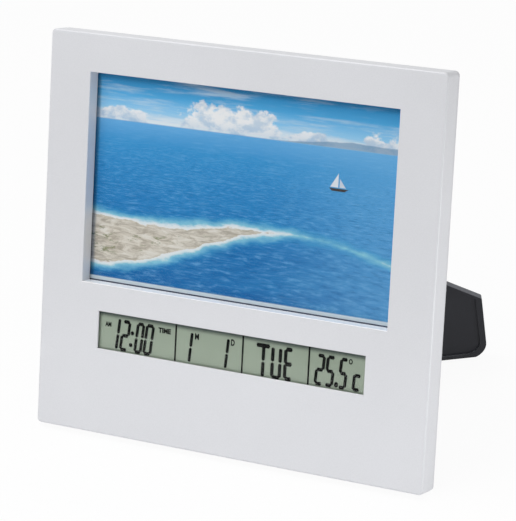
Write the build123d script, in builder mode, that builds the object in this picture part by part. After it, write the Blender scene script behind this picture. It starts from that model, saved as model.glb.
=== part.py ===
from build123d import *
from math import cos, radians, sin, tan
import os

# Photo frame clock: a leaning picture frame with a strip display under the picture.
# All lengths are in millimetres. X runs to the viewer's right, Y to the back, Z up.
# The origin is on the table, in the middle of the flat land that the case rests on.

# Case
lean_angle = 18.0
face_side_margin = 20.6
face_top_margin = 16.8
face_wall = 2.0
side_wall = 2.0
corner_radius = 2.0
inner_corner_radius = 1.0
front_edge_radius = 0.8
opening_edge_radius = 0.4
cover_thickness = 1.8
cover_inset = 0.1
cover_edge_radius = 0.3
parting_chamfer = 0.2
rest_land = 1.2

# Picture window and what lies behind it
window_width = 148.8
window_height = 90.9
window_depth = 6.0
print_side_overlap = 1.8
print_end_overlap = 5.35
print_thickness = 0.25
glazing_thickness = 1.0
backing_thickness = 3.2
backing_door_gap = 0.05
pocket_clearance = 0.4
pocket_wall = 1.6
reveal_wall = 1.6
ledge_thickness = 1.4
thumb_notch_radius = 9.0

# Display
display_side_inset = 9.15
display_height = 16.4
lens_overlap = 1.8
lens_depth = 0.8
lens_thickness = 1.0
lens_clearance = 0.1
panel_overlap = 2.6
panel_thickness = 2.2
reflector_thickness = 0.3
holder_wall = 1.0
holder_clearance = 0.2
holder_pocket_gap = 0.75
shelf_thickness = 0.8
strip_connector_width = 2.0
strip_connector_inset = 0.6

# Circuit board and what is soldered to it
board_depth = 7.0
board_thickness = 1.2
board_side_margin = 5.45
board_bay_gap = 2.1
tongue_margin = 3.0
tongue_end_margin = 5.1
board_boss_radius = 2.2
board_screw_radius = 0.85
board_screw_head_radius = 1.8
board_screw_head_height = 1.1
board_screw_length = 4.6
board_hole_clearance = 0.35
thread_clearance = 0.05
board_screw_edge = 2.6
board_screw_end_edge = 3.6
tongue_screw_gap = 4.6
chip_radius = 5.0
chip_height = 1.3
chip_place = 20.0
crystal_radius = 1.0
crystal_length = 6.0
crystal_place = -14.0
crystal_lead_radius = 0.25
crystal_gap = 0.05
sensor_radius = 1.3
sensor_board_edge = 16.5
sensor_lead_radius = 0.3
sensor_lead_length = 2.6
sensor_lead_spacing = 1.4

# Keys on the back
key_count = 5
key_row_height = 21.0
key_width_share = 0.5
key_height = 4.4
key_corner_radius = 1.4
key_proud = 0.8
key_travel = 0.5
key_gap = 0.1
key_seat_gap = 0.05
key_clearance = 0.3
key_flange_overlap = 0.9
key_flange_thickness = 1.0
key_post_radius = 1.5
switch_width = 6.0
switch_height = 2.5
switch_plunger_radius = 1.5
switch_plunger_height = 1.0

# Rear housing with the battery bay
housing_side_inset = 12.0
housing_bottom = 7.0
housing_wall = 1.8
housing_corner_radius = 4.0
housing_edge_radius = 1.2
cell_radius = 5.25
cell_length = 44.5
cell_nub_radius = 1.9
cell_nub_height = 1.0
cell_edge_radius = 0.5
cell_gap = 0.6
cell_play = 0.3
contact_thickness = 0.4
contact_width = 8.0
contact_dimple_radius = 1.6
contact_dimple_height = 0.4
contact_leaf_reach = 2.2
contact_leaf_width = 3.4
contact_play = 0.2
contact_edge_gap = 0.3
contact_tab_width = 3.0
contact_tab_reach = 1.2
contact_tab_clearance = 0.1
bay_wall = 1.2
bay_margin = 0.4
hatch_ledge = 1.6
hatch_step = 0.9
hatch_clearance = 0.2
hatch_bay_overlap = 0.8
hatch_rib_height = 0.5
hatch_rib_width = 1.0
hatch_rib_length = 12.0
hatch_rib_spacing = 2.2
hatch_rib_count = 5
hatch_rib_edge = 7.0
wire_radius = 0.55
wire_bend_share = 0.8
wire_pad = 3.6
wire_pad_edge = 1.5

# Sounder and vents
sounder_edge = 21.0
sounder_radius = 10.0
sounder_height = 3.0
sounder_disc_radius = 7.5
sounder_disc_depth = 0.6
sounder_lead_place = 6.0
sounder_lead_spacing = 4.0
sounder_lead_rise = 2.0
sounder_lead_bend = 1.0
sounder_lead_pad = 3.0
sound_hole_radius = 0.8
sound_hole_circle = 4.4
sound_hole_count = 6
vent_count = 6
vent_length = 9.0
vent_width = 1.2
vent_spacing = 2.8
vent_edge = 23.0

# Case screws
case_boss_radius = 2.7
case_screw_radius = 1.2
case_screw_length = 6.6
case_screw_head_radius = 2.4
case_screw_head_height = 1.2
case_screw_inset = 8.0
case_screw_bottom = 12.0
case_screw_top_inset = 8.5
case_hole_clearance = 0.2
drive_slot_length = 2.2
drive_slot_width = 0.6
drive_slot_depth = 0.6

# Locating lip of the rear cover
lip_depth = 1.4
lip_wall = 1.2
lip_clearance = 0.15

# Sliding photo door
door_gap = 0.1
door_thickness = 2.0
door_edge_thickness = 1.2
door_overlap = 4.0
door_step_width = 3.0
door_clearance = 0.3
door_seat_gap = 0.3
door_corner_radius = 1.0
rail_wall = 1.8
rail_lip = 2.2
rail_lip_thickness = 1.2
grip_count = 6
grip_spacing = 2.4
grip_width = 1.1
grip_length = 34.0
grip_height = 0.6
grip_top = 7.0

# Stand leg and its hinge
leg_direction = 46.2
leg_open_angle = 45.7
leg_thickness = 2.8
leg_neck = 24.0
leg_flare_angle = 12.0
leg_side_edge = 34.8
leg_floor_edge = 37.0
leg_foot_shift = 1.3
leg_side_angle = 41.5
leg_floor_angle = 47.0
leg_foot_radius = 9.0
leg_corner_radius = 1.2
leg_trim = 0.9
leg_rim = 2.0
leg_panel_recess = 0.8
leg_panel_start = 8.0
hinge_across = -2.0
hinge_drop = 6.75
leg_housing_gap = 0.6
pin_radius = 1.25
pin_running_clearance = 0.05
pin_seat_clearance = 0.02
barrel_radius = 2.8
barrel_clearance = 0.4
leg_stop_gap = 0.25
ear_thickness = 2.5
ear_radius = 3.6
ear_clearance = 0.4
bracket_thickness = 1.5
bracket_length = 18.0
bracket_screw_edge = 3.75
bracket_ear_gap = 2.45
bracket_corner_radius = 3.0
bracket_screw_radius = 1.0
bracket_screw_head_radius = 1.9
bracket_screw_head_height = 1.1
bracket_screw_depth = 2.2
bracket_screw_length_spacing = 10.0
bracket_hole_clearance = 0.15
bracket_pad_margin = 8.0
bracket_pad_height = 0.7

# Heights up the face and widths across it, from the cells, the display and the picture
cell_low = housing_bottom + housing_wall + 2 * bay_margin + cell_radius
cell_high = cell_low + 2 * cell_radius + cell_gap
bay_bottom = housing_bottom + housing_wall + bay_margin
bay_height = 4 * cell_radius + cell_gap + 2 * bay_margin
bay_centre = bay_bottom + bay_height / 2
bay_block_top = bay_bottom + bay_height + bay_wall
lens_height = display_height + 2 * lens_overlap
panel_height = display_height + 2 * panel_overlap
holder_height = panel_height + 2 * (holder_clearance + holder_wall)
board_height = panel_height
display_centre = bay_block_top + board_bay_gap + board_height / 2
pocket_bottom = display_centre + holder_height / 2 + holder_pocket_gap + pocket_wall
pocket_height = window_height + 2 * (print_end_overlap + pocket_clearance)
pocket_top = pocket_bottom + pocket_height
window_centre = pocket_bottom + pocket_height / 2
frame_height = window_centre + window_height / 2 + face_top_margin
frame_width = window_width + 2 * face_side_margin
print_width = window_width + 2 * print_side_overlap
print_height = window_height + 2 * print_end_overlap
pocket_width = print_width + 2 * pocket_clearance
display_width = window_width - 2 * display_side_inset
lens_width = display_width + 2 * lens_overlap
panel_width = display_width + 2 * panel_overlap
holder_width = panel_width + 2 * (holder_clearance + holder_wall)
board_width = holder_width + 2 * board_side_margin
door_width = pocket_width + 2 * door_overlap
door_bottom = pocket_bottom - door_overlap / 2
door_top = pocket_top + door_overlap / 2
housing_width = frame_width - 2 * housing_side_inset
housing_top = door_bottom - door_seat_gap
housing_height = housing_top - housing_bottom
housing_centre = housing_bottom + housing_height / 2

# Depths behind the face
glazing_back = window_depth + glazing_thickness
print_back = glazing_back + print_thickness
backing_back = print_back + backing_thickness
total_depth = backing_back + backing_door_gap
frame_depth = total_depth - cover_thickness
lens_back = lens_depth + lens_thickness
panel_back = face_wall + panel_thickness
reflector_back = panel_back + reflector_thickness
board_back = board_depth + board_thickness
door_front = total_depth + door_gap
door_back = door_front + door_thickness
bracket_top = barrel_radius + barrel_clearance
bracket_seat_depth = door_back + bracket_pad_height
hinge_depth = bracket_seat_depth + bracket_thickness + bracket_top
housing_depth = hinge_depth - leg_housing_gap
housing_inner_back = housing_depth - housing_wall

# Places of the bay, the keys and the board's tongue, from the left side of the housing
bay_left = housing_wall - housing_width / 2
bay_length = (
    cell_length + 2 * contact_thickness + contact_leaf_reach + contact_dimple_height + contact_play
)
bay_right = bay_left + bay_length
hatch_right = bay_right + hatch_bay_overlap
sounder_place = housing_width / 2 - sounder_edge
key_pitch = (sounder_place - sounder_radius - hatch_right) / (key_count + 1)
key_width = key_pitch * key_width_share
key_places = [
    (hatch_right + (number + 1) * key_pitch, key_row_height) for number in range(key_count)
]
wire_first_across = bay_right + bay_wall + contact_tab_reach
wire_last_across = wire_first_across + wire_pad
tongue_left = wire_last_across - wire_pad_edge
tongue_right = key_places[-1][0] + switch_width / 2 + tongue_margin
tongue_width = tongue_right - tongue_left
tongue_centre = (tongue_left + tongue_right) / 2
tongue_bottom = key_row_height - switch_width / 2 - tongue_end_margin
board_bottom = display_centre - board_height / 2

# Places of the screws
case_screw_across = frame_width / 2 - case_screw_inset
case_screw_top = frame_height - case_screw_top_inset
case_screw_middle = (case_screw_bottom + case_screw_top) / 2
case_screw_places = [
    (side * case_screw_across, height)
    for side in (-1, 1)
    for height in (case_screw_bottom, case_screw_middle, case_screw_top)
]
board_screw_across = board_width / 2 - board_screw_edge
board_screw_up = board_height / 2 - board_screw_end_edge
board_screw_places = [
    (side * board_screw_across, display_centre + end * board_screw_up)
    for side in (-1, 1)
    for end in (-1, 1)
]
board_screw_places += [
    (tongue_centre + side * tongue_width / 4, board_bottom - tongue_screw_gap)
    for side in (-1, 1)
]

# The leaning face, with the middle of the land that the case rests on at the origin
lean_sin = sin(radians(lean_angle))
lean_cos = cos(radians(lean_angle))
land_up = cover_inset + rest_land * lean_sin / 2
land_back = total_depth - rest_land * lean_cos / 2
face = Plane(
    origin=(
        0,
        -(land_up * lean_sin + land_back * lean_cos),
        land_back * lean_sin - land_up * lean_cos,
    ),
    x_dir=(1, 0, 0),
    z_dir=(0, -lean_cos, lean_sin),
)


def behind(depth):
    """The plane parallel to the face at a depth behind it, looking to the front."""
    return face.offset(-depth)


# Front frame: face, side walls, window surround with the print's pocket, bosses
with BuildPart() as front_frame:
    with BuildSketch(behind(frame_depth)):
        with Locations((0, frame_height / 2)):
            RectangleRounded(frame_width, frame_height, corner_radius)
    extrude(amount=frame_depth)
    front_face = front_frame.faces().sort_by(Axis(face.origin, face.z_dir))[-1]
    fillet(front_face.edges(), front_edge_radius)
    back_face = front_frame.faces().sort_by(Axis(face.origin, face.z_dir))[0]
    chamfer(back_face.edges(), parting_chamfer)
    with BuildSketch(behind(frame_depth)):
        with Locations((0, frame_height / 2)):
            RectangleRounded(
                frame_width - 2 * side_wall, frame_height - 2 * side_wall, inner_corner_radius
            )
    extrude(amount=frame_depth - face_wall, mode=Mode.SUBTRACT)
    with BuildSketch(behind(window_depth)):
        with Locations((0, window_centre)):
            Rectangle(window_width + 2 * reveal_wall, window_height + 2 * reveal_wall)
    extrude(amount=window_depth - face_wall)
    with BuildSketch(behind(frame_depth)):
        with Locations((0, window_centre)):
            Rectangle(pocket_width + 2 * pocket_wall, pocket_height + 2 * pocket_wall)
    extrude(amount=frame_depth - window_depth + ledge_thickness)
    with BuildSketch(behind(frame_depth)):
        with Locations((0, window_centre)):
            Rectangle(pocket_width, pocket_height)
    extrude(amount=frame_depth - window_depth, mode=Mode.SUBTRACT)
    with BuildSketch(behind(frame_depth)):
        with Locations((0, window_centre)):
            Rectangle(window_width, window_height)
        with Locations((0, display_centre)):
            Rectangle(display_width, display_height)
    extrude(amount=frame_depth, mode=Mode.SUBTRACT)
    with BuildSketch(behind(face_wall)):
        with Locations((0, display_centre)):
            Rectangle(lens_width + 2 * lens_clearance, lens_height + 2 * lens_clearance)
    extrude(amount=face_wall - lens_depth, mode=Mode.SUBTRACT)
    front_face = front_frame.faces().sort_by(Axis(face.origin, face.z_dir))[-1]
    opening_edges = [edge for wire in front_face.inner_wires() for edge in wire.edges()]
    fillet(opening_edges, opening_edge_radius)
    with BuildSketch(behind(frame_depth)):
        with Locations(*case_screw_places):
            Circle(case_boss_radius)
    extrude(amount=frame_depth - face_wall)
    with BuildSketch(behind(board_depth)):
        with Locations(*board_screw_places):
            Circle(board_boss_radius)
    extrude(amount=board_depth - face_wall)
    with BuildSketch(behind(frame_depth)):
        with Locations(*case_screw_places):
            Circle(case_screw_radius + thread_clearance)
    extrude(amount=case_screw_length - cover_thickness, mode=Mode.SUBTRACT)
    with BuildSketch(behind(board_depth)):
        with Locations(*board_screw_places):
            Circle(board_screw_radius + thread_clearance)
    extrude(amount=board_screw_length - board_thickness, mode=Mode.SUBTRACT)
front_frame.part.label = "front_frame"

# Picture stack: clear glazing, the print and its backing board
with BuildPart() as photo_glazing:
    with BuildSketch(behind(glazing_back)):
        with Locations((0, window_centre)):
            Rectangle(print_width, print_height)
    extrude(amount=glazing_thickness)
photo_glazing.part.label = "photo_glazing"

with BuildPart() as photo_print:
    with BuildSketch(behind(print_back)):
        with Locations((0, window_centre)):
            Rectangle(print_width, print_height)
    extrude(amount=print_thickness)
photo_print.part.label = "photo_print"

with BuildPart() as backing_board:
    with BuildSketch(behind(backing_back)):
        with Locations((0, window_centre)):
            Rectangle(print_width, print_height)
        with Locations((0, window_centre + print_height / 2)):
            Circle(thumb_notch_radius, mode=Mode.SUBTRACT)
    extrude(amount=backing_thickness)
backing_board.part.label = "backing_board"

# Display stack: lens in its pocket, panel against the face wall, reflector, holder, connector
with BuildPart() as display_lens:
    with BuildSketch(behind(lens_back)):
        with Locations((0, display_centre)):
            Rectangle(lens_width, lens_height)
    extrude(amount=lens_thickness)
display_lens.part.label = "display_lens"

with BuildPart() as display_panel:
    with BuildSketch(behind(panel_back)):
        with Locations((0, display_centre)):
            Rectangle(panel_width, panel_height)
    extrude(amount=panel_thickness)
display_panel.part.label = "display_panel"

connector_centre = (
    display_centre + panel_height / 2 - strip_connector_inset - strip_connector_width / 2
)
reflector_top = connector_centre - strip_connector_width / 2 - holder_clearance
reflector_height = reflector_top - (display_centre - panel_height / 2)
with BuildPart() as display_reflector:
    with BuildSketch(behind(reflector_back)):
        with Locations((0, reflector_top - reflector_height / 2)):
            Rectangle(panel_width, reflector_height)
    extrude(amount=reflector_thickness)
display_reflector.part.label = "display_reflector"

with BuildPart() as strip_connector:
    with BuildSketch(behind(board_depth)):
        with Locations((0, connector_centre)):
            Rectangle(display_width, strip_connector_width)
    extrude(amount=board_depth - panel_back)
strip_connector.part.label = "strip_connector"

with BuildPart() as display_holder:
    with BuildSketch(behind(board_depth)):
        with Locations((0, display_centre)):
            Rectangle(holder_width, holder_height)
            Rectangle(
                panel_width + 2 * holder_clearance,
                panel_height + 2 * holder_clearance,
                mode=Mode.SUBTRACT,
            )
    extrude(amount=board_depth - face_wall)
    with BuildSketch(behind(reflector_back + shelf_thickness)):
        with Locations((0, reflector_top - reflector_height / 2 - holder_clearance)):
            Rectangle(panel_width + 2 * holder_clearance, reflector_height)
    extrude(amount=shelf_thickness)
display_holder.part.label = "display_holder"

# Circuit board: a strip behind the display with a tongue down to the keys
with BuildPart() as circuit_board:
    with BuildSketch(behind(board_back)):
        with Locations((0, display_centre)):
            Rectangle(board_width, board_height)
        with Locations((tongue_centre, (display_centre + tongue_bottom) / 2)):
            Rectangle(tongue_width, display_centre - tongue_bottom)
        with Locations(*board_screw_places):
            Circle(board_screw_radius + board_hole_clearance, mode=Mode.SUBTRACT)
    extrude(amount=board_thickness)
circuit_board.part.label = "circuit_board"

with BuildPart() as clock_chip:
    with BuildSketch(behind(board_back)):
        with Locations((chip_place, display_centre)):
            Circle(chip_radius)
    extrude(amount=-chip_height)
    chip_top = clock_chip.faces().sort_by(Axis(face.origin, face.z_dir))[0]
    fillet(chip_top.edges(), chip_height / 2)
clock_chip.part.label = "clock_chip"

crystal_axis_plane = Plane(
    origin=behind(board_back + crystal_radius + crystal_gap).from_local_coords(
        (crystal_place, display_centre, 0)
    ),
    x_dir=face.z_dir,
    z_dir=face.x_dir,
)
with BuildPart() as quartz_crystal:
    with BuildSketch(crystal_axis_plane):
        Circle(crystal_radius)
    extrude(amount=crystal_length)
    with BuildSketch(crystal_axis_plane):
        with Locations((0, crystal_radius / 2), (0, -crystal_radius / 2)):
            Circle(crystal_lead_radius)
    extrude(amount=-crystal_length / 2)
quartz_crystal.part.label = "quartz_crystal"

sensor_across = board_width / 2 - sensor_board_edge
with BuildPart() as temperature_sensor:
    with BuildSketch(behind(board_back + sensor_lead_length)):
        with Locations(
            (sensor_across - sensor_lead_spacing / 2, display_centre),
            (sensor_across + sensor_lead_spacing / 2, display_centre),
        ):
            Circle(sensor_lead_radius)
    extrude(amount=sensor_lead_length)
    with BuildSketch(behind(board_back + sensor_lead_length + sensor_radius)):
        with Locations((sensor_across, display_centre)):
            Circle(sensor_radius)
    extrude(amount=sensor_radius)
    sensor_tip = temperature_sensor.faces().sort_by(Axis(face.origin, face.z_dir))[0]
    fillet(sensor_tip.edges(), sensor_radius / 2)
temperature_sensor.part.label = "temperature_sensor"

with BuildPart() as key_switches:
    with BuildSketch(behind(board_back)):
        with Locations(*key_places):
            Rectangle(switch_width, switch_width)
    extrude(amount=-switch_height)
    with BuildSketch(behind(board_back + switch_height)):
        with Locations(*key_places):
            Circle(switch_plunger_radius)
    extrude(amount=-switch_plunger_height)
key_switches.part.label = "key_switches"

with BuildPart() as board_screws:
    with BuildSketch(behind(board_back)):
        with Locations(*board_screw_places):
            Circle(board_screw_radius)
    extrude(amount=board_screw_length)
    with BuildSketch(behind(board_back)):
        with Locations(*board_screw_places):
            Circle(board_screw_head_radius)
    extrude(amount=-board_screw_head_height)
board_screws.part.label = "board_screws"

# Rear cover: flange, locating lip, door rails, lower housing, battery bay
cell_centre_depth = housing_inner_back - cell_play - cell_radius
bay_floor = cell_centre_depth - cell_radius - cell_play
bay_block_height = bay_block_top - housing_bottom
bay_block_length = bay_right + bay_wall + housing_width / 2
hatch_height = bay_height + 2 * hatch_bay_overlap
hatch_length = hatch_right + housing_width / 2
door_rail_centre = door_bottom + (door_top - door_bottom) / 2
rail_back = door_front + door_edge_thickness + door_clearance + rail_lip_thickness
rail_outer = door_width / 2 + door_clearance + rail_wall
with BuildPart() as rear_cover:
    with BuildSketch(behind(total_depth)):
        with Locations((0, frame_height / 2)):
            RectangleRounded(
                frame_width - 2 * cover_inset, frame_height - 2 * cover_inset, corner_radius
            )
    extrude(amount=cover_thickness)
    cover_back = rear_cover.faces().sort_by(Axis(face.origin, face.z_dir))[0]
    fillet(cover_back.edges(), cover_edge_radius)
    lip_width = frame_width - 2 * (side_wall + lip_clearance)
    lip_height = frame_height - 2 * (side_wall + lip_clearance)
    with BuildSketch(behind(frame_depth)):
        with Locations((0, frame_height / 2)):
            RectangleRounded(lip_width, lip_height, inner_corner_radius)
            Rectangle(lip_width - 2 * lip_wall, lip_height - 2 * lip_wall, mode=Mode.SUBTRACT)
    extrude(amount=lip_depth)
    with BuildSketch(behind(total_depth)):
        with Locations((0, window_centre)):
            Rectangle(pocket_width, pocket_height)
    extrude(amount=cover_thickness, mode=Mode.SUBTRACT)
    with BuildSketch(behind(housing_depth)):
        with Locations((0, housing_centre)):
            RectangleRounded(housing_width, housing_height, housing_corner_radius)
    extrude(amount=housing_depth - total_depth)
    housing_back = rear_cover.faces().sort_by(Axis(face.origin, face.z_dir))[0]
    fillet(housing_back.edges(), housing_edge_radius)
    with BuildSketch(behind(housing_inner_back)):
        with Locations((0, housing_centre)):
            Rectangle(housing_width - 2 * housing_wall, housing_height - 2 * housing_wall)
    extrude(amount=housing_inner_back - frame_depth, mode=Mode.SUBTRACT)
    with BuildSketch(behind(housing_inner_back + housing_wall / 2)):
        with Locations(
            (
                bay_block_length / 2 - housing_width / 2,
                housing_bottom + bay_block_height / 2,
            )
        ):
            Rectangle(bay_block_length - housing_wall, bay_block_height - housing_wall)
    extrude(amount=housing_inner_back + housing_wall / 2 - bay_floor + bay_wall)
    with BuildSketch(behind(housing_depth)):
        with Locations((bay_left + bay_length / 2, bay_centre)):
            Rectangle(bay_length, bay_height)
    extrude(amount=housing_depth - bay_floor, mode=Mode.SUBTRACT)
    with BuildSketch(behind(housing_depth)):
        with Locations((hatch_right - hatch_length / 2, bay_centre)):
            Rectangle(hatch_length, hatch_height)
    extrude(amount=housing_wall, mode=Mode.SUBTRACT)
    with BuildSketch(behind(housing_inner_back + hatch_step)):
        with Locations((hatch_right - hatch_length / 2, bay_centre)):
            Rectangle(hatch_length, hatch_height + 2 * hatch_ledge)
    extrude(amount=hatch_step, mode=Mode.SUBTRACT)
    tab_slot_depth = contact_thickness + 2 * contact_tab_clearance
    with BuildSketch(behind(cell_centre_depth + tab_slot_depth / 2)):
        with Locations((bay_right + bay_wall / 2, cell_low), (bay_right + bay_wall / 2, cell_high)):
            Rectangle(bay_wall, contact_tab_width + 2 * contact_tab_clearance)
    extrude(amount=tab_slot_depth, mode=Mode.SUBTRACT)
    with BuildSketch(behind(housing_depth)):
        with Locations(*key_places):
            RectangleRounded(
                key_width + 2 * key_clearance,
                key_height + 2 * key_clearance,
                key_corner_radius + key_clearance,
            )
    extrude(amount=housing_wall, mode=Mode.SUBTRACT)
    with BuildSketch(behind(housing_depth)):
        with Locations((housing_width / 2 - vent_edge, display_centre)):
            with GridLocations(vent_spacing, 0, vent_count, 1):
                SlotOverall(vent_length, vent_width, rotation=90)
        with Locations((sounder_place, key_row_height)):
            Circle(sound_hole_radius)
            with PolarLocations(sound_hole_circle, sound_hole_count):
                Circle(sound_hole_radius)
    extrude(amount=housing_wall, mode=Mode.SUBTRACT)
    for side in (-1, 1):
        with BuildSketch(behind(rail_back)):
            with Locations((side * (rail_outer - rail_wall / 2), door_rail_centre)):
                Rectangle(rail_wall, door_top - door_bottom)
        extrude(amount=rail_back - total_depth)
        with BuildSketch(behind(rail_back)):
            with Locations((side * (rail_outer - (rail_wall + rail_lip) / 2), door_rail_centre)):
                Rectangle(rail_wall + rail_lip, door_top - door_bottom)
        extrude(amount=rail_lip_thickness)
    with BuildSketch(behind(total_depth)):
        with Locations(*case_screw_places):
            Circle(case_screw_radius + case_hole_clearance)
    extrude(amount=cover_thickness, mode=Mode.SUBTRACT)
    with BuildSketch(behind(total_depth)):
        with Locations(*case_screw_places):
            Circle(case_screw_head_radius + case_hole_clearance)
    extrude(amount=case_screw_head_height, taper=45, mode=Mode.SUBTRACT)
    split(bisect_by=Plane.XY, keep=Keep.TOP)
rear_cover.part.label = "rear_cover"

# Case screws, countersunk into the cover
with BuildPart() as case_screws:
    with BuildSketch(behind(total_depth)):
        with Locations(*case_screw_places):
            Circle(case_screw_head_radius)
    extrude(amount=case_screw_head_height, taper=45)
    with BuildSketch(behind(total_depth)):
        with Locations(*case_screw_places):
            Circle(case_screw_radius)
    extrude(amount=case_screw_length)
    with BuildSketch(behind(total_depth)):
        with Locations(*case_screw_places):
            Rectangle(drive_slot_length, drive_slot_width)
            Rectangle(drive_slot_width, drive_slot_length)
    extrude(amount=drive_slot_depth, mode=Mode.SUBTRACT)
case_screws.part.label = "case_screws"

# Battery cells lie side by side, pointing opposite ways
cells = {}
for cell_name, cell_up, nub_side in (
    ("battery_cell_lower", cell_low, 1),
    ("battery_cell_upper", cell_high, -1),
):
    nub_end = bay_left + bay_length / 2 + nub_side * (
        bay_length / 2 - contact_thickness - contact_dimple_height - contact_play / 2
    )
    nub_plane = Plane(
        origin=behind(cell_centre_depth).from_local_coords((nub_end, cell_up, 0)),
        x_dir=face.z_dir,
        z_dir=face.x_dir * -nub_side,
    )
    with BuildPart() as cell:
        with BuildSketch(nub_plane):
            Circle(cell_nub_radius)
        extrude(amount=cell_nub_height)
        with BuildSketch(nub_plane.offset(cell_nub_height)):
            Circle(cell_radius)
        extrude(amount=cell_length - cell_nub_height)
        cell_rims = cell.edges().filter_by(GeomType.CIRCLE).group_by(SortBy.RADIUS)[-1]
        fillet(cell_rims, cell_edge_radius)
    cell.part.label = cell_name
    cells[cell_name] = cell

# Battery contacts: thin plates on the bay's end walls, with a dimple or a bowed leaf
contact_height = 2 * (cell_radius - contact_edge_gap)


def contact_end(end_side):
    """The plane on a bay end wall, looking along the bay, and level with the cells."""
    end_across = bay_left if end_side < 0 else bay_right
    return Plane(
        origin=behind(cell_centre_depth).from_local_coords((end_across, 0, 0)),
        x_dir=face.y_dir,
        z_dir=face.x_dir * -end_side,
    )


def bowed_leaf(end_side, cell_up):
    """The profile of a leaf bowed off a bay end wall, in the plane through a cell's axis."""
    end_across = bay_left if end_side < 0 else bay_right
    leaf_plane = Plane(
        origin=behind(cell_centre_depth).from_local_coords((end_across, cell_up, 0)),
        x_dir=face.x_dir * -end_side,
        z_dir=face.y_dir * end_side,
    )
    half_length = cell_radius - 2 * contact_edge_gap
    crown = contact_thickness + contact_leaf_reach
    with BuildSketch(leaf_plane) as profile:
        with BuildLine():
            outer = ThreePointArc(
                (contact_thickness, -half_length), (crown, 0), (contact_thickness, half_length)
            )
            inner = ThreePointArc(
                (contact_thickness, -half_length + contact_thickness),
                (crown - contact_thickness, 0),
                (contact_thickness, half_length - contact_thickness),
            )
            Line(outer @ 0, inner @ 0)
            Line(outer @ 1, inner @ 1)
        make_face()
    return profile.sketch


with BuildPart() as link_contact:
    with BuildSketch(contact_end(-1)):
        with Locations(((cell_low + cell_high) / 2, 0)):
            Rectangle(cell_high - cell_low + contact_width, contact_height)
    extrude(amount=contact_thickness)
    with BuildSketch(contact_end(-1).offset(contact_thickness)):
        with Locations((cell_high, 0)):
            Circle(contact_dimple_radius)
    extrude(amount=contact_dimple_height)
    extrude(bowed_leaf(-1, cell_low), amount=contact_leaf_width / 2, both=True)
link_contact.part.label = "link_contact"

with BuildPart() as positive_contact:
    with BuildSketch(contact_end(1)):
        with Locations((cell_low, 0)):
            Rectangle(contact_width, contact_height)
    extrude(amount=contact_thickness)
    with BuildSketch(contact_end(1)):
        with Locations((cell_low, 0)):
            Rectangle(contact_tab_width, contact_thickness)
    extrude(amount=-bay_wall - contact_tab_reach)
    with BuildSketch(contact_end(1).offset(contact_thickness)):
        with Locations((cell_low, 0)):
            Circle(contact_dimple_radius)
    extrude(amount=contact_dimple_height)
positive_contact.part.label = "positive_contact"

with BuildPart() as negative_contact:
    with BuildSketch(contact_end(1)):
        with Locations((cell_high, 0)):
            Rectangle(contact_width, contact_height)
    extrude(amount=contact_thickness)
    with BuildSketch(contact_end(1)):
        with Locations((cell_high, 0)):
            Rectangle(contact_tab_width, contact_thickness)
    extrude(amount=-bay_wall - contact_tab_reach)
    extrude(bowed_leaf(1, cell_high), amount=contact_leaf_width / 2, both=True)
negative_contact.part.label = "negative_contact"

# Battery leads: from the contacts' tabs to pads on the back of the circuit board
wire_bend = (cell_centre_depth - board_back) * wire_bend_share
wires = {}
for wire_name, wire_up in (
    ("battery_lead_positive", cell_low),
    ("battery_lead_negative", cell_high),
):
    wire_start = behind(cell_centre_depth).from_local_coords((wire_first_across, wire_up, 0))
    wire_corner = behind(cell_centre_depth).from_local_coords((wire_last_across, wire_up, 0))
    wire_end = behind(board_back).from_local_coords((wire_last_across, wire_up, 0))
    with BuildPart() as wire:
        with BuildLine():
            wire_path = FilletPolyline(wire_start, wire_corner, wire_end, radius=wire_bend)
        with BuildSketch(Plane(origin=wire_start, z_dir=face.x_dir)):
            Circle(wire_radius)
        sweep(path=wire_path)
    wire.part.label = wire_name
    wires[wire_name] = wire

# Sounder: a ring case with a disc, on the inside of the housing
with BuildPart() as sounder:
    with BuildSketch(behind(housing_inner_back)):
        with Locations((sounder_place, key_row_height)):
            Circle(sounder_radius)
    extrude(amount=sounder_height)
    with BuildSketch(behind(housing_inner_back)):
        with Locations((sounder_place, key_row_height)):
            Circle(sounder_disc_radius)
    extrude(amount=sounder_disc_depth, mode=Mode.SUBTRACT)
sounder.part.label = "sounder"

# Sounder leads: up from the sounder's front, then forward to the circuit board
sounder_front = housing_inner_back - sounder_height
lead_low = key_row_height + sounder_lead_place
lead_high = board_bottom + sounder_lead_pad
with BuildPart() as sounder_leads:
    for side in (-1, 1):
        lead_across = sounder_place + side * sounder_lead_spacing / 2
        lead_points = [
            behind(depth).from_local_coords((lead_across, height, 0))
            for depth, height in (
                (sounder_front, lead_low),
                (sounder_front - sounder_lead_rise, lead_low),
                (sounder_front - sounder_lead_rise, lead_high),
                (board_back, lead_high),
            )
        ]
        with BuildLine():
            lead_path = FilletPolyline(*lead_points, radius=sounder_lead_bend)
        with BuildSketch(Plane(origin=lead_points[0], z_dir=face.z_dir)):
            Circle(wire_radius)
        sweep(path=lead_path)
sounder_leads.part.label = "sounder_leads"

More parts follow.
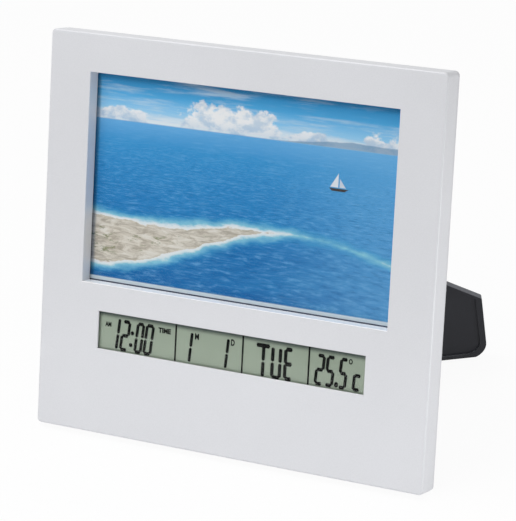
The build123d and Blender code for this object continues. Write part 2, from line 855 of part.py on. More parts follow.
# Battery hatch: slides out of its grooves to the side
hatch_inner_length = hatch_length - hatch_clearance
with BuildPart() as battery_hatch:
    with BuildSketch(behind(housing_depth)):
        with Locations((-housing_width / 2 + hatch_inner_length / 2, bay_centre)):
            Rectangle(hatch_inner_length, hatch_height - 2 * hatch_clearance)
    extrude(amount=housing_wall)
    with BuildSketch(behind(housing_inner_back + hatch_step - hatch_clearance)):
        with Locations((-housing_width / 2 + hatch_inner_length / 2, bay_centre)):
            Rectangle(hatch_inner_length, hatch_height + 2 * (hatch_ledge - hatch_clearance))
    extrude(amount=hatch_step - hatch_clearance)
    with BuildSketch(behind(housing_depth)):
        with Locations((-housing_width / 2 + hatch_rib_edge, bay_centre)):
            with GridLocations(hatch_rib_spacing, 0, hatch_rib_count, 1):
                Rectangle(hatch_rib_width, hatch_rib_length)
    extrude(amount=-hatch_rib_height)
battery_hatch.part.label = "battery_hatch"

# Keys: a cap through the cover, a flange inside it and a post over its switch
key_names = ("mode_key", "set_key", "up_key", "down_key", "degrees_key")
keys = {}
for key_name, key_place in zip(key_names, key_places):
    post_front = board_back + switch_height + switch_plunger_height + key_travel + key_gap
    flange_back = housing_inner_back - key_seat_gap
    flange_front = flange_back - key_flange_thickness
    with BuildPart() as key:
        with BuildSketch(behind(housing_depth + key_proud)):
            with Locations(key_place):
                RectangleRounded(key_width, key_height, key_corner_radius)
        extrude(amount=housing_wall + key_seat_gap + key_proud)
        cap_top = key.faces().sort_by(Axis(face.origin, face.z_dir))[0]
        fillet(cap_top.edges(), key_proud / 2)
        with BuildSketch(behind(flange_back)):
            with Locations(key_place):
                Rectangle(
                    key_width + 2 * (key_clearance + key_flange_overlap),
                    key_height + 2 * (key_clearance + key_flange_overlap),
                )
        extrude(amount=key_flange_thickness)
        with BuildSketch(behind(flange_front)):
            with Locations(key_place):
                Circle(key_post_radius)
        extrude(amount=flange_front - post_front)
    key.part.label = key_name
    keys[key_name] = key

# Photo door: a stepped plate in the rails, with finger ribs and a round pad for the hinge
hinge_up = window_centre - hinge_drop
hinge_point = behind(hinge_depth).from_local_coords((hinge_across, hinge_up, 0))
leg_axis = face.x_dir * cos(radians(leg_direction)) - face.y_dir * sin(radians(leg_direction))
closed_leg = Plane(origin=hinge_point, x_dir=leg_axis, z_dir=face.z_dir * -1)
ear_inner = leg_neck / 2 + ear_clearance
ear_outer = ear_inner + ear_thickness
bracket_screw_width_spacing = 2 * (ear_outer + bracket_screw_head_radius + bracket_ear_gap)
bracket_screw_grid = (bracket_screw_length_spacing, bracket_screw_width_spacing)
bracket_width = bracket_screw_width_spacing + 2 * bracket_screw_edge
with BuildPart() as photo_door:
    with BuildSketch(behind(door_front + door_edge_thickness)):
        with Locations((0, door_rail_centre)):
            RectangleRounded(door_width, door_top - door_bottom, door_corner_radius)
    extrude(amount=door_edge_thickness)
    with BuildSketch(behind(door_back)):
        with Locations((0, door_rail_centre)):
            RectangleRounded(
                door_width - 2 * door_step_width, door_top - door_bottom, door_corner_radius
            )
    extrude(amount=door_thickness)
    with BuildSketch(behind(door_back)):
        with Locations((0, door_top - grip_top - grip_count * grip_spacing / 2)):
            with GridLocations(0, grip_spacing, 1, grip_count):
                Rectangle(grip_length, grip_width)
    extrude(amount=-grip_height)
    with BuildSketch(behind(bracket_seat_depth)):
        with Locations((hinge_across, hinge_up)):
            Circle(bracket_width / 2 + bracket_pad_margin)
    extrude(amount=bracket_seat_depth - door_back)
    with BuildSketch(closed_leg.offset(bracket_seat_depth - hinge_depth)):
        with GridLocations(*bracket_screw_grid, 2, 2):
            Circle(bracket_screw_radius + thread_clearance)
    extrude(amount=-bracket_screw_depth, mode=Mode.SUBTRACT)
photo_door.part.label = "photo_door"

# Hinge bracket: a base on the door's pad and two ears that hold the pin
ear_profile = Plane(origin=hinge_point, x_dir=closed_leg.x_dir, z_dir=closed_leg.y_dir)
with BuildPart() as hinge_bracket:
    with BuildSketch(closed_leg.offset(-bracket_top - bracket_thickness)):
        RectangleRounded(bracket_length, bracket_width, bracket_corner_radius)
        with GridLocations(*bracket_screw_grid, 2, 2):
            Circle(bracket_screw_radius + bracket_hole_clearance, mode=Mode.SUBTRACT)
    extrude(amount=bracket_thickness)
    for side in (-1, 1):
        with BuildSketch(ear_profile.offset(side * (ear_inner + ear_thickness / 2))):
            Circle(ear_radius)
            with Locations((0, bracket_top / 2)):
                Rectangle(2 * ear_radius, bracket_top)
        extrude(amount=ear_thickness / 2, both=True)
    with BuildSketch(ear_profile):
        Circle(pin_radius + pin_seat_clearance)
    extrude(amount=ear_outer, both=True, mode=Mode.SUBTRACT)
hinge_bracket.part.label = "hinge_bracket"

with BuildPart() as hinge_pin:
    with BuildSketch(ear_profile):
        Circle(pin_radius)
    extrude(amount=ear_outer, both=True)
hinge_pin.part.label = "hinge_pin"

with BuildPart() as bracket_screws:
    with BuildSketch(closed_leg.offset(-bracket_top)):
        with GridLocations(*bracket_screw_grid, 2, 2):
            Circle(bracket_screw_head_radius)
    extrude(amount=bracket_screw_head_height)
    with BuildSketch(closed_leg.offset(-bracket_top)):
        with GridLocations(*bracket_screw_grid, 2, 2):
            Circle(bracket_screw_radius)
    extrude(amount=-bracket_thickness - bracket_screw_depth)
    with BuildSketch(closed_leg.offset(bracket_screw_head_height - bracket_top)):
        with GridLocations(*bracket_screw_grid, 2, 2):
            Rectangle(drive_slot_length, drive_slot_width)
            Rectangle(drive_slot_width, drive_slot_length)
    extrude(amount=-drive_slot_depth, mode=Mode.SUBTRACT)
bracket_screws.part.label = "bracket_screws"

# Stand leg: opened on its stop, its foot cut level with the table
open_leg = closed_leg.moved(Rotation(0, -leg_open_angle, 0))
leg_reach = -hinge_point.Z / open_leg.x_dir.Z
leg_tail = (bracket_top - leg_stop_gap) / sin(radians(leg_open_angle))
side_cos = cos(radians(leg_side_angle))
side_sin = sin(radians(leg_side_angle))
floor_cos = cos(radians(leg_floor_angle))
floor_sin = sin(radians(leg_floor_angle))
foot_tip = (
    leg_reach + leg_trim * side_cos + leg_foot_shift * floor_cos,
    leg_trim * side_sin - leg_foot_shift * floor_sin,
)
side_corner = (
    foot_tip[0] - (leg_side_edge + leg_trim) * side_cos,
    foot_tip[1] - (leg_side_edge + leg_trim) * side_sin,
)
floor_corner = (
    foot_tip[0] - leg_floor_edge * floor_cos,
    foot_tip[1] + leg_floor_edge * floor_sin,
)
flare_tan = tan(radians(leg_flare_angle))
side_flare_start = side_corner[0] - (-side_corner[1] - leg_neck / 2) / flare_tan
floor_flare_start = floor_corner[0] - (floor_corner[1] - leg_neck / 2) / flare_tan
with BuildPart() as stand_leg:
    with BuildSketch(open_leg) as leg_outline:
        with BuildLine():
            Polyline(
                (-leg_tail, -leg_neck / 2),
                (side_flare_start, -leg_neck / 2),
                side_corner,
                foot_tip,
                floor_corner,
                (floor_flare_start, leg_neck / 2),
                (-leg_tail, leg_neck / 2),
                close=True,
            )
        make_face()
        fillet(leg_outline.vertices().sort_by(Axis.X)[-1], leg_foot_radius)
        wing_corners = leg_outline.vertices().sort_by(Axis.Y)
        fillet([wing_corners[0], wing_corners[-1]], leg_corner_radius)
    extrude(amount=leg_thickness)
    with BuildSketch(Plane(origin=open_leg.origin, x_dir=open_leg.x_dir, z_dir=open_leg.y_dir)):
        Circle(barrel_radius)
    extrude(amount=leg_neck / 2, both=True)
    with BuildSketch(Plane(origin=open_leg.origin, x_dir=open_leg.x_dir, z_dir=open_leg.y_dir)):
        Circle(pin_radius + pin_running_clearance)
    extrude(amount=leg_neck / 2, both=True, mode=Mode.SUBTRACT)
    with BuildSketch(open_leg) as panel_recess:
        with BuildLine():
            Polyline(
                (leg_panel_start, -leg_neck / 2 + leg_rim),
                (side_flare_start, -leg_neck / 2 + leg_rim),
                (side_corner[0] - leg_rim, side_corner[1] + leg_rim),
                (foot_tip[0] - 2 * leg_rim, foot_tip[1]),
                (floor_corner[0] - leg_rim, floor_corner[1] - leg_rim),
                (floor_flare_start, leg_neck / 2 - leg_rim),
                (leg_panel_start, leg_neck / 2 - leg_rim),
                close=True,
            )
        make_face()
        fillet(panel_recess.vertices().sort_by(Axis.X)[-1], leg_foot_radius - leg_rim)
    extrude(amount=leg_panel_recess, mode=Mode.SUBTRACT)
    split(bisect_by=Plane.XY, keep=Keep.TOP)
stand_leg.part.label = "stand_leg"

os.makedirs("parts", exist_ok=True)
plain_parts = (
    front_frame,
    photo_glazing,
    photo_print,
    backing_board,
    display_lens,
    display_panel,
    display_reflector,
    strip_connector,
    display_holder,
    circuit_board,
    clock_chip,
    quartz_crystal,
    temperature_sensor,
    key_switches,
    board_screws,
    rear_cover,
    case_screws,
    link_contact,
    positive_contact,
    negative_contact,
    sounder,
    sounder_leads,
    battery_hatch,
    photo_door,
    hinge_bracket,
    hinge_pin,
    bracket_screws,
    stand_leg,
)
for piece in (*plain_parts, *cells.values(), *wires.values(), *keys.values()):
    export_step(piece.part, f"parts/{piece.part.label}.step")
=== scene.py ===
# %% [markdown]
# # A photo frame clock that leans on its leg
#
# The real thing is a silver-grey plastic case with a landscape picture in it and a strip display under the
# picture. A charcoal leg opens diagonally behind it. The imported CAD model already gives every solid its
# true size and place, so this script loads it as a fixed frame and only adds what a solid model can't
# carry: the finishes, the printed picture, the dark marks of the display, real screw heads, the light and
# the camera.

import math

import bpy
from mathutils import Matrix, Vector


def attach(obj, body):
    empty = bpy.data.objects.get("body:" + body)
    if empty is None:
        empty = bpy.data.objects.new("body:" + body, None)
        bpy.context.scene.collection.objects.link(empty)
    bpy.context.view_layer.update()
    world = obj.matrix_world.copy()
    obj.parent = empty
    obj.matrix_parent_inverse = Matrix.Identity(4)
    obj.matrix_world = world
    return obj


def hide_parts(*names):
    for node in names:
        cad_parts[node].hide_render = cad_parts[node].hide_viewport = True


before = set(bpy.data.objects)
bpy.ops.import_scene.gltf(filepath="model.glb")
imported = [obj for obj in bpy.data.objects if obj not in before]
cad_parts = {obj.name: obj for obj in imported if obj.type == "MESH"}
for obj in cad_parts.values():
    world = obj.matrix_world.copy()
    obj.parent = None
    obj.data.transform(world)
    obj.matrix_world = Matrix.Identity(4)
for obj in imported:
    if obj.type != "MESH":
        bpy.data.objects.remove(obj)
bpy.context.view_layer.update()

# %% [markdown]
# ## Where things are
#
# The case leans back by 18 degrees, so nothing on its face is square to the world. It is easier to think as
# the maker does, on the face itself: so many millimetres across from the middle, so many up from the bottom
# edge, and so deep behind the front. One matrix turns such a place into the scene's metres.

# %% Places on the face
MM = 0.001
LEAN = math.radians(18)
ACROSS = Vector((1, 0, 0))
UP_FACE = Vector((0, math.sin(LEAN), math.cos(LEAN)))
OUT_OF_FACE = Vector((0, -math.cos(LEAN), math.sin(LEAN)))
FACE_CORNER = Vector((0, -9.5316, 2.7969)) * MM


def at_face(across, up, depth):
    """A place in metres from millimetres across, up and behind the front face."""
    return FACE_CORNER + (ACROSS * across + UP_FACE * up - OUT_OF_FACE * depth) * MM


def face_matrix(depth, way=1):
    """Lays a flat drawing in metres onto the plane at that depth, to be seen from the front, or with way -1
    from behind, when its x runs the other way."""
    turn = Matrix((ACROSS * way, UP_FACE, OUT_OF_FACE * way)).transposed().to_4x4()
    return Matrix.Translation(at_face(0, 0, depth)) @ turn


print("top of the face at", [round(v, 4) for v in at_face(0, 173.5, 0)])

# %% [markdown]
# ## The camera
#
# The photograph was taken from the front right and a little above, with a long lens: the case's upright
# edges stay almost parallel. The corners of the case, of the picture window and of the display were
# measured in the photograph, and a least squares fit gave the place and the three directions below, written
# on the face's axes.

# %% Set the camera
eye = at_face(588.98, 298.05, -1014.31)
to_right = (0.86363, 0.05111, -0.50152)
to_top = (-0.13317, 0.98264, -0.12918)
to_back = (0.48621, 0.17835, 0.85545)


def on_world(direction):
    """A direction given across, up and out of the face, in the world's axes."""
    return (ACROSS * direction[0] + UP_FACE * direction[1] + OUT_OF_FACE * direction[2]).normalized()


def add_object(name, data):
    """A new object in the scene."""
    obj = bpy.data.objects.new(name, data)
    bpy.context.scene.collection.objects.link(obj)
    return obj


camera_data = bpy.data.cameras.new("photo_camera")
camera_data.sensor_fit = "HORIZONTAL"
camera_data.sensor_width = 36
camera_data.lens = 198.84
camera_data.clip_end = 30
camera = add_object("photo_camera", camera_data)
camera.matrix_world = Matrix.Translation(eye) @ Matrix(
    (on_world(to_right), on_world(to_top), on_world(to_back))
).transposed().to_4x4()
bpy.context.scene.camera = camera
print("camera stands", round((eye - at_face(0, 87, 0)).length, 3), "m from the face")

# %% [markdown]
# ## Helpers for node trees
#
# Every finish and every repeated piece below is a small network of nodes. Writing each node out in full would
# bury the idea, so a few helpers do the wiring: one puts down a node with its settings and inputs, and others
# do arithmetic, handle vectors and mix colours. An output knows its tree, so a step that takes one needs no
# tree to be named, and the same helpers serve a material and a Geometry Nodes tree.

# %% Put down nodes
def put(tree, kind, inputs=None, **settings):
    """One node. An input is a plain value or the output of another node."""
    node = tree.nodes.new(kind)
    for name, value in settings.items():
        setattr(node, name, value)
    for key, value in (inputs or {}).items():
        if isinstance(value, bpy.types.NodeSocket):
            tree.links.new(value, node.inputs[key])
        else:
            node.inputs[key].default_value = value
    return node


def join(kind, inputs, **settings):
    """One node, put down in the tree of the outputs that it takes."""
    tree = next(value.id_data for value in inputs.values() if isinstance(value, bpy.types.NodeSocket))
    return put(tree, kind, inputs, **settings)


def maths(operation, *values):
    """One step of arithmetic on numbers or outputs."""
    return join("ShaderNodeMath", dict(enumerate(values)), operation=operation).outputs[0]


def step(operation):
    """A short name for one kind of arithmetic."""
    return lambda *values: maths(operation, *values)


plus, minus, times, over = step("ADD"), step("SUBTRACT"), step("MULTIPLY"), step("DIVIDE")
larger, size_of = step("MAXIMUM"), step("ABSOLUTE")


def vector(x=0.0, y=0.0, z=0.0):
    """Three numbers or outputs as one vector."""
    return join("ShaderNodeCombineXYZ", {0: x, 1: y, 2: z}).outputs[0]


def parts_of(place):
    """A vector's three numbers."""
    return join("ShaderNodeSeparateXYZ", {0: place}).outputs


def dot(first, second):
    """How far two directions agree: 1 the same way, 0 at right angles."""
    return join("ShaderNodeVectorMath", {0: first, 1: second}, operation="DOT_PRODUCT").outputs["Value"]


def mixed(share, first, second, way="MIX"):
    """Two colours mixed; share 0 is the first and 1 the second."""
    inputs = {0: share, 6: first, 7: second}
    return join("ShaderNodeMix", inputs, data_type="RGBA", blend_type=way).outputs[2]


def eased(value, start, end, first=0.0, last=1.0):
    """A smooth step from first to last while value goes from start to end."""
    inputs = {0: value, 1: start, 2: end, 3: first, 4: last}
    return join("ShaderNodeMapRange", inputs, interpolation_type="SMOOTHSTEP").outputs[0]


def fades(value, ends):
    """A smooth step between two places in millimetres."""
    return eased(value, ends[0] * MM, ends[1] * MM)


def rgb(red, green, blue):
    """A colour as a paint chart gives it, 0 to 255, in the linear numbers that Blender's sockets take."""
    linear = [c / 255 / 12.92 if c < 10.3 else ((c / 255 + 0.055) / 1.055) ** 2.4 for c in (red, green, blue)]
    return (*linear, 1)


def ramp(value, stops):
    """A colour ramp from 0 to 1, with stops of a place and a paint chart colour."""
    node = join("ShaderNodeValToRGB", {0: value})
    own = node.color_ramp.elements
    for place, colour in stops:
        stop = own[0] if place == 0 else own[-1] if place == 1 else own.new(place)
        stop.color = rgb(*colour)
    return node.outputs[0]


print("paint chart grey 128 is", round(rgb(128, 128, 128)[0], 3), "in linear light")

# %% [markdown]
# Patterns need a place to start from. Object coordinates are the scene's own metres, since every finished
# piece sits at the origin. For patterns that belong to the face they are turned back by the lean, so that x
# runs across the face, y up it, and z out of it.

# %% Coordinates for patterns
def world_place(tree):
    """Metres in the scene."""
    return put(tree, "ShaderNodeTexCoord").outputs["Object"]


def face_place(tree):
    """Metres on the face: across, up, and out of it."""
    shift = (0, -FACE_CORNER.dot(UP_FACE), -FACE_CORNER.dot(OUT_OF_FACE))
    inputs = {"Vector": world_place(tree), "Rotation": (LEAN - math.pi / 2, 0, 0), "Location": shift}
    return join("ShaderNodeMapping", inputs).outputs[0]


def stretched(place, scale):
    """The same place with each axis scaled, for streaks and brushed lines."""
    return join("ShaderNodeMapping", {"Vector": place, "Scale": scale}).outputs[0]


def noise(place, per_metre, detail=2.0, roughness=0.5, distortion=0.0):
    """Soft irregular variation between 0 and 1, with so many lumps to the metre."""
    inputs = {"Vector": place, "Scale": per_metre, "Detail": detail, "Roughness": roughness,
              "Distortion": distortion}
    return join("ShaderNodeTexNoise", inputs).outputs[0]


NOISE_LOW, NOISE_HIGH = 0.3, 0.7


def spread(pattern, first=0.0, last=1.0):
    """From first to last over the range in which most of a noise lies."""
    return eased(pattern, NOISE_LOW, NOISE_HIGH, first, last)


def facing_way(tree):
    """The direction in which the surface looks."""
    return put(tree, "ShaderNodeTexCoord").outputs["Normal"]


finishes = {}


def new_finish(name):
    """The empty tree of a new material, which is kept under its name."""
    finishes[name] = bpy.data.materials.new(name)
    finishes[name].use_nodes = True
    tree = finishes[name].node_tree
    tree.nodes.clear()
    return tree


def finish_with(shader):
    """Ends the shader's tree in the material's output."""
    join("ShaderNodeOutputMaterial", {"Surface": shader.outputs[0]})


def surface(tone, gloss, bump=None, metal=0.0, shine=0.5):
    """Ends a tree in one surface. gloss is a pattern with the least and the most roughness, bump a height
    with its strength and its depth in millimetres."""
    inputs = {"Base Color": tone, "Roughness": spread(*gloss), "Metallic": metal, "Specular IOR Level": shine}
    if bump:
        relief = dict(zip(("Height", "Strength"), bump), Distance=bump[2] * MM)
        inputs["Normal"] = join("ShaderNodeBump", relief).outputs[0]
    finish_with(join("ShaderNodeBsdfPrincipled", inputs))


print("pattern coordinates ready")

# %% [markdown]
# ## Moulded plastic
#
# Most of the clock is injection moulded. What tells moulded plastic from a flat colour is small: a colour
# that drifts a little over a hand's width, a grain left by the etched mould, and a gloss that breaks up
# with that grain. One recipe with a few numbers gives the lacquered front, the matt back, the leg, the keys
# and the small insulating parts, so that they look like one maker's work. The thin side walls of the leg
# get a painted sheen, paler than its broad sides and most where they face up, and the sill under the
# picture gets a painted highlight for the light from above.

# %% The moulded plastic recipe
FLAKE = 0.35
# heights on the face, in millimetres, of the sill band that gets a painted highlight
SILL_LOW, SILL_HIGH = 62, 70


def moulded_plastic(name, colour, drift, grain, grain_depth, gloss, speckle=0.0, metal=0.0, shine=0.5,
                    walls=None):
    """grain is the mould's grain in millimetres, gloss the least and the most roughness. walls gives the way
    that the broad sides look and the paler tone of a painted sheen on the walls between them, strongest where
    they face up."""
    tree = new_finish(name)
    place = world_place(tree)
    broad = noise(place, 18, 3)
    fine = noise(place, 1 / (grain * MM), 3, 0.6)
    darker = tuple(c * (1 - drift) for c in colour[:3]) + (1,)
    lighter = tuple(min(1, c * (1 + drift)) for c in colour[:3]) + (1,)
    tone = mixed(spread(broad), darker, lighter)
    if speckle:
        flake = noise(place, 1 / (FLAKE * MM), 1, 0.5)
        brightness = eased(flake, 0.35, 0.65, 1 - speckle, 1 + speckle)
        tone = mixed(1.0, tone, brightness, "MULTIPLY")
    # A painted sheen: the walls between the broad sides, most where they face up, are mixed towards a paler
    # tone.
    if walls:
        flat_way, wall_sheen_tone = walls
        flatness = size_of(dot(facing_way(tree), flat_way))
        rise = parts_of(facing_way(tree))[2]
        side = times(eased(flatness, 0.7, 0.3), eased(rise, -0.2, 0.7, 0.2, 1.0))
        tone = mixed(side, tone, mixed(spread(fine, 0.0, 0.3), wall_sheen_tone, tone))
    surface(tone, (fine, *gloss), (fine, 0.5, grain_depth), metal, shine)


def paint_sill_highlight(name, sill_highlight_tone, lowest, highest):
    """A painted highlight: surfaces that look up the face, between two heights on it, take a paler tone."""
    tree = finishes[name].node_tree
    shader = next(node for node in tree.nodes if node.type == "BSDF_PRINCIPLED")
    own_tone = shader.inputs["Base Color"].links[0].from_socket
    up = parts_of(face_place(tree))[1]
    near = times(eased(up, highest + MM, highest), eased(up, lowest - MM, lowest))
    share = times(eased(dot(facing_way(tree), tuple(UP_FACE)), 0.3, 0.7), near)
    tree.links.new(mixed(share, own_tone, sill_highlight_tone), shader.inputs["Base Color"])


# colour, drift of the colour, grain, depth of the grain, gloss
PLASTICS = {
    "frame_plastic": ((217, 218, 222), 0.012, 0.5, 0.004, (0.36, 0.46)),
    "cover_plastic": ((214, 215, 219), 0.02, 0.45, 0.03, (0.5, 0.64)),
    "door_plastic": ((206, 208, 213), 0.02, 0.45, 0.035, (0.52, 0.66)),
    "leg_plastic": ((37, 38, 43), 0.12, 0.4, 0.05, (0.5, 0.64)),
    "key_rubber": ((74, 78, 86), 0.06, 0.3, 0.02, (0.55, 0.7)),
    "holder_plastic": ((228, 228, 222), 0.03, 0.5, 0.02, (0.45, 0.6)),
    "switch_plastic": ((38, 38, 41), 0.08, 0.3, 0.02, (0.4, 0.55)),
    "sounder_plastic": ((30, 31, 33), 0.1, 0.4, 0.02, (0.35, 0.5)),
    "chip_resin": ((26, 26, 29), 0.15, 1.4, 0.12, (0.18, 0.34)),
    "sensor_resin": ((58, 92, 74), 0.1, 0.5, 0.03, (0.25, 0.4)),
    "zebra_rubber": ((214, 160, 150), 0.08, 0.25, 0.01, (0.5, 0.65)),
    "wire_red": ((176, 34, 32), 0.06, 0.5, 0.01, (0.32, 0.44)),
    "wire_black": ((30, 30, 32), 0.08, 0.5, 0.01, (0.32, 0.44)),
}
LEG_BROAD_WAY = (0.496, -0.825, -0.275)
EXTRAS = {
    "frame_plastic": {"speckle": 0.018, "metal": 0.12},
    # the leg's walls get a painted sheen in a paler grey
    "leg_plastic": {"shine": 0.24, "walls": (LEG_BROAD_WAY, rgb(112, 114, 119))},
}
for name, (colour, *numbers) in PLASTICS.items():
    moulded_plastic(name, rgb(*colour), *numbers, **EXTRAS.get(name, {}))
# the sill under the picture gets a painted highlight
paint_sill_highlight("frame_plastic", rgb(253, 253, 254), SILL_LOW * MM, SILL_HIGH * MM)
print("plastics:", len(finishes))

# %% [markdown]
# ## Metals
#
# The hinge bracket and its pin are plated sheet and wire, the screws are nickel-plated, the contacts are
# spring steel. All of them are bare metal, which has no colour of its own under the shine, so the whole
# character is in the roughness: fine drawn lines, cloudy plating and a few duller patches.

# %% The plated metal recipe
WORN, DULLER = 0.82, 0.06


def plated_metal(name, colour, gloss, line_scale=(300, 4000, 4000)):
    """gloss is the least and the most roughness; the lines run along the axis with the least line_scale."""
    tree = new_finish(name)
    place = world_place(tree)
    lines = noise(stretched(place, line_scale), 1, 2, 0.6)
    cloud = noise(place, 220, 3)
    worn = tuple(c * WORN for c in colour[:3]) + (1,)
    tone = mixed(eased(cloud, 0.35, 0.7), worn, colour)
    duller = times(cloud, DULLER)
    surface(tone, (lines, *[plus(duller, share) for share in gloss]), (lines, 0.35, 0.01), metal=1.0)


METALS = {
    "plated_steel": ((196, 198, 200), (0.26, 0.4)),
    "screw_steel": ((188, 190, 192), (0.2, 0.32), (2500, 2500, 2500)),
    "spring_steel": ((206, 205, 198), (0.2, 0.34)),
    "tinned_steel": ((204, 206, 208), (0.24, 0.36)),
    "reflector_foil": ((222, 222, 218), (0.3, 0.42), (600, 600, 600)),
}
for name, (colour, *numbers) in METALS.items():
    plated_metal(name, rgb(*colour), *numbers)
print("metals: bracket and pin, screws, contacts, crystal, foil")

# %% [markdown]
# ## The two clear windows
#
# A clear acrylic sheet covers the picture and another the display. Real glass shaders bend light twice in a
# millimetre of plastic and give noise for nothing, so both sheets are a see-through shader mixed with a
# mirror, shared out by Fresnel's law: nearly clear from in front, bright at a grazing look. Faint moulding
# waves in the mirror keep the sheet from looking computed.

# %% Clear sheets
WAVE = 0.3
MIRROR_IOR = 1.13


def clear_sheet(name, tint):
    """tint is what white becomes when it is seen through the sheet."""
    tree = new_finish(name)
    place = world_place(tree)
    ripple = noise(place, 35, 2)
    bump = join("ShaderNodeBump", {"Height": ripple, "Strength": WAVE, "Distance": 0.05 * MM})
    smear = noise(place, 120, 4)
    roughness = eased(smear, 0.4, 0.75, 0.03, 0.09)
    gloss = join("ShaderNodeBsdfGlossy", {"Roughness": roughness, "Normal": bump.outputs[0]})
    clear = put(tree, "ShaderNodeBsdfTransparent", {"Color": tint})
    share = put(tree, "ShaderNodeFresnel", {"IOR": MIRROR_IOR})
    finish_with(join("ShaderNodeMixShader", {0: share.outputs[0], 1: clear.outputs[0], 2: gloss.outputs[0]}))


clear_sheet("clear_glazing", (0.985, 0.992, 0.996, 1))
clear_sheet("clear_lens", (0.985, 0.992, 0.985, 1))
print("clear sheets: picture glazing and display lens")

# %% [markdown]
# ## The picture
#
# The frame comes with a seaside print in it. Painting one with nodes is like painting by layers: a sky with
# clouds low over the horizon, a sea whose waves get finer with distance, a tongue of sand with pale
# shallows round it, a low far coast and one small sail. Each layer is a formula of the place on the print,
# so the picture needs no image file and stays sharp at any size.

# %% The print's own coordinates
WINDOW_HALF_WIDTH = 74.4 * MM
WINDOW_HALF_HEIGHT = 45.45 * MM
WINDOW_MIDDLE_UP = 111.25 * MM
HORIZON = 0.56
COAST_HEIGHT = 0.11


def print_place(tree):
    """Across and up on the print, each -1 to 1 over the picture window; then up and out in metres."""
    face_across, face_up, face_out = parts_of(face_place(tree))
    across = over(face_across, WINDOW_HALF_WIDTH)
    up = over(minus(face_up, WINDOW_MIDDLE_UP), WINDOW_HALF_HEIGHT)
    return across, up, face_up, face_out


def paint(across, up, scales, detail, roughness=0.5, distortion=0.0):
    """Noise on the print. scales are its lumps across and up, with a seed as the third axis."""
    place = vector(times(across, scales[0]), times(up, scales[1]), scales[2])
    return noise(place, 1, detail, roughness, distortion)


print("horizon", round((1 - HORIZON) / 2 * 100), "percent down the window")

# %% [markdown]
# The sky is a ramp from a strong blue overhead to a pale haze at the horizon. A cloud is noise cut off at a
# level, and the level rises away from the places where a bank should stand, so the banks stay where they
# are wanted. A second, shifted noise shades their undersides.

# %% Sky and clouds
def cloud_bank(across, up, middle, half_width, base, height):
    """How much cloud a bank gives at a place: 1 in its heart, 0 outside, and cut off flat at its base."""
    side = over(minus(across, middle), half_width)
    rise = over(minus(up, base), height)
    reach = plus(times(side, side), times(rise, rise))
    heart = larger(minus(1.0, reach), 0.0)
    return times(heart, eased(rise, -0.35, 0.0))


# middle, half width, base over the horizon and height of each bank, on the print's own scale
BANKS = (
    (-0.12, 0.52, 0.02, 0.34), (0.42, 0.24, 0.01, 0.14), (-0.85, 0.3, 0.01, 0.17), (0.9, 0.22, 0.03, 0.2),
)


def sky(across, up):
    """The sky's colour."""
    height = over(minus(up, HORIZON), 1 - HORIZON)
    air = ramp(height, [
        (0, (206, 232, 248)), (0.25, (158, 216, 250)), (0.6, (86, 184, 238)), (1, (34, 150, 212)),
    ])
    banks = 0.0
    for middle, half_width, base, tall in BANKS:
        bank = cloud_bank(across, up, middle, half_width, HORIZON + base, tall)
        banks = larger(banks, bank)
    puffs = paint(across, up, (8.0, 6.5, 3.7), 9, 0.6)
    heap = plus(banks, times(minus(puffs, 0.5), 2.4))
    cover = times(eased(heap, 0.36, 0.6), eased(banks, 0.0, 0.12))
    shade = paint(across, up, (9.0, 9.0, 8.1), 6, 0.6)
    low_side = eased(height, 0.3, 0.0, 0.0, 0.3)
    shaded = plus(eased(shade, 0.42, 0.62, 0.0, 0.6), low_side)
    white = mixed(shaded, rgb(255, 255, 255), rgb(176, 206, 232))
    wisps = paint(across, up, (2.2, 14.0, 5.5), 6, 0.6)
    air = mixed(eased(wisps, 0.48, 0.72, 0.0, 0.6), air, rgb(226, 240, 250))
    low_band = times(eased(height, 0.32, 0.04), eased(wisps, 0.36, 0.56))
    air = mixed(low_band, air, rgb(240, 247, 252))
    return mixed(cover, air, white)


print("sky: one large bank left of the middle and three small ones")

# %% [markdown]
# The sea lies flat in perspective. Dividing by the distance below the horizon stretches the noise as the
# eye sees it: long swells near the lower edge, a fine shimmer far out. The far coast is a low band of haze
# whose top follows a slow noise.

# %% Sea and far coast
def sea(across, up):
    """The water's colour."""
    below = larger(minus(HORIZON, up), 0.0)
    nearness = over(1.0, plus(below, 0.12))
    run = vector(times(times(across, nearness), 16.0), times(nearness, 60.0), 1.3)
    waves = noise(run, 1, 6, 0.66)
    swell = paint(across, up, (1.6, 5.0, 5.2), 3)
    streaks = paint(across, up, (9.0, 70.0, 7.7), 4, 0.6)
    water = ramp(over(below, 1.5), [
        (0, (112, 188, 240)), (0.14, (58, 160, 222)), (0.5, (28, 134, 202)), (1, (14, 112, 182)),
    ])
    water = mixed(eased(swell, 0.35, 0.7, 0.0, 0.3), water, rgb(58, 160, 220))
    water = mixed(eased(across, 0.0, 1.1, 0.0, 0.5), water, rgb(128, 200, 246))
    water = mixed(eased(waves, 0.5, 0.3, 0.0, 0.5), water, rgb(10, 98, 168))
    water = mixed(eased(streaks, 0.5, 0.75, 0.0, 0.3), water, rgb(140, 208, 246))
    return mixed(eased(waves, 0.5, 0.72, 0.0, 0.45), water, rgb(140, 208, 246))


def far_coast(across, up, behind):
    """The hazy hills on the horizon, over what is behind them."""
    ridge = paint(across, up, (3.2, 0.0, 6.4), 4)
    side = eased(across, 0.15, 0.7)
    top = times(times(ridge, COAST_HEIGHT), side)
    above = minus(minus(up, HORIZON), top)
    over_water = eased(up, HORIZON - 0.004, HORIZON + 0.004)
    cover = times(eased(above, 0.006, -0.006, 0.0, 0.7), over_water)
    return mixed(cover, behind, rgb(112, 156, 190))


print("sea: swell, shimmer and a low coast to the right")

# %% [markdown]
# The sand comes in from the left edge and tapers out over the shallows. Its outline is a distance, not a
# shape: below nought is land, and each ring outside it gets its colour from one ramp, from dry sand over
# wet sand and foam to turquoise and then open water. Noise added to the distance makes the shore ragged.

# %% The tongue of sand
SHORE_STOP = 0.3  # where the water's edge lies on the ramp of the rings


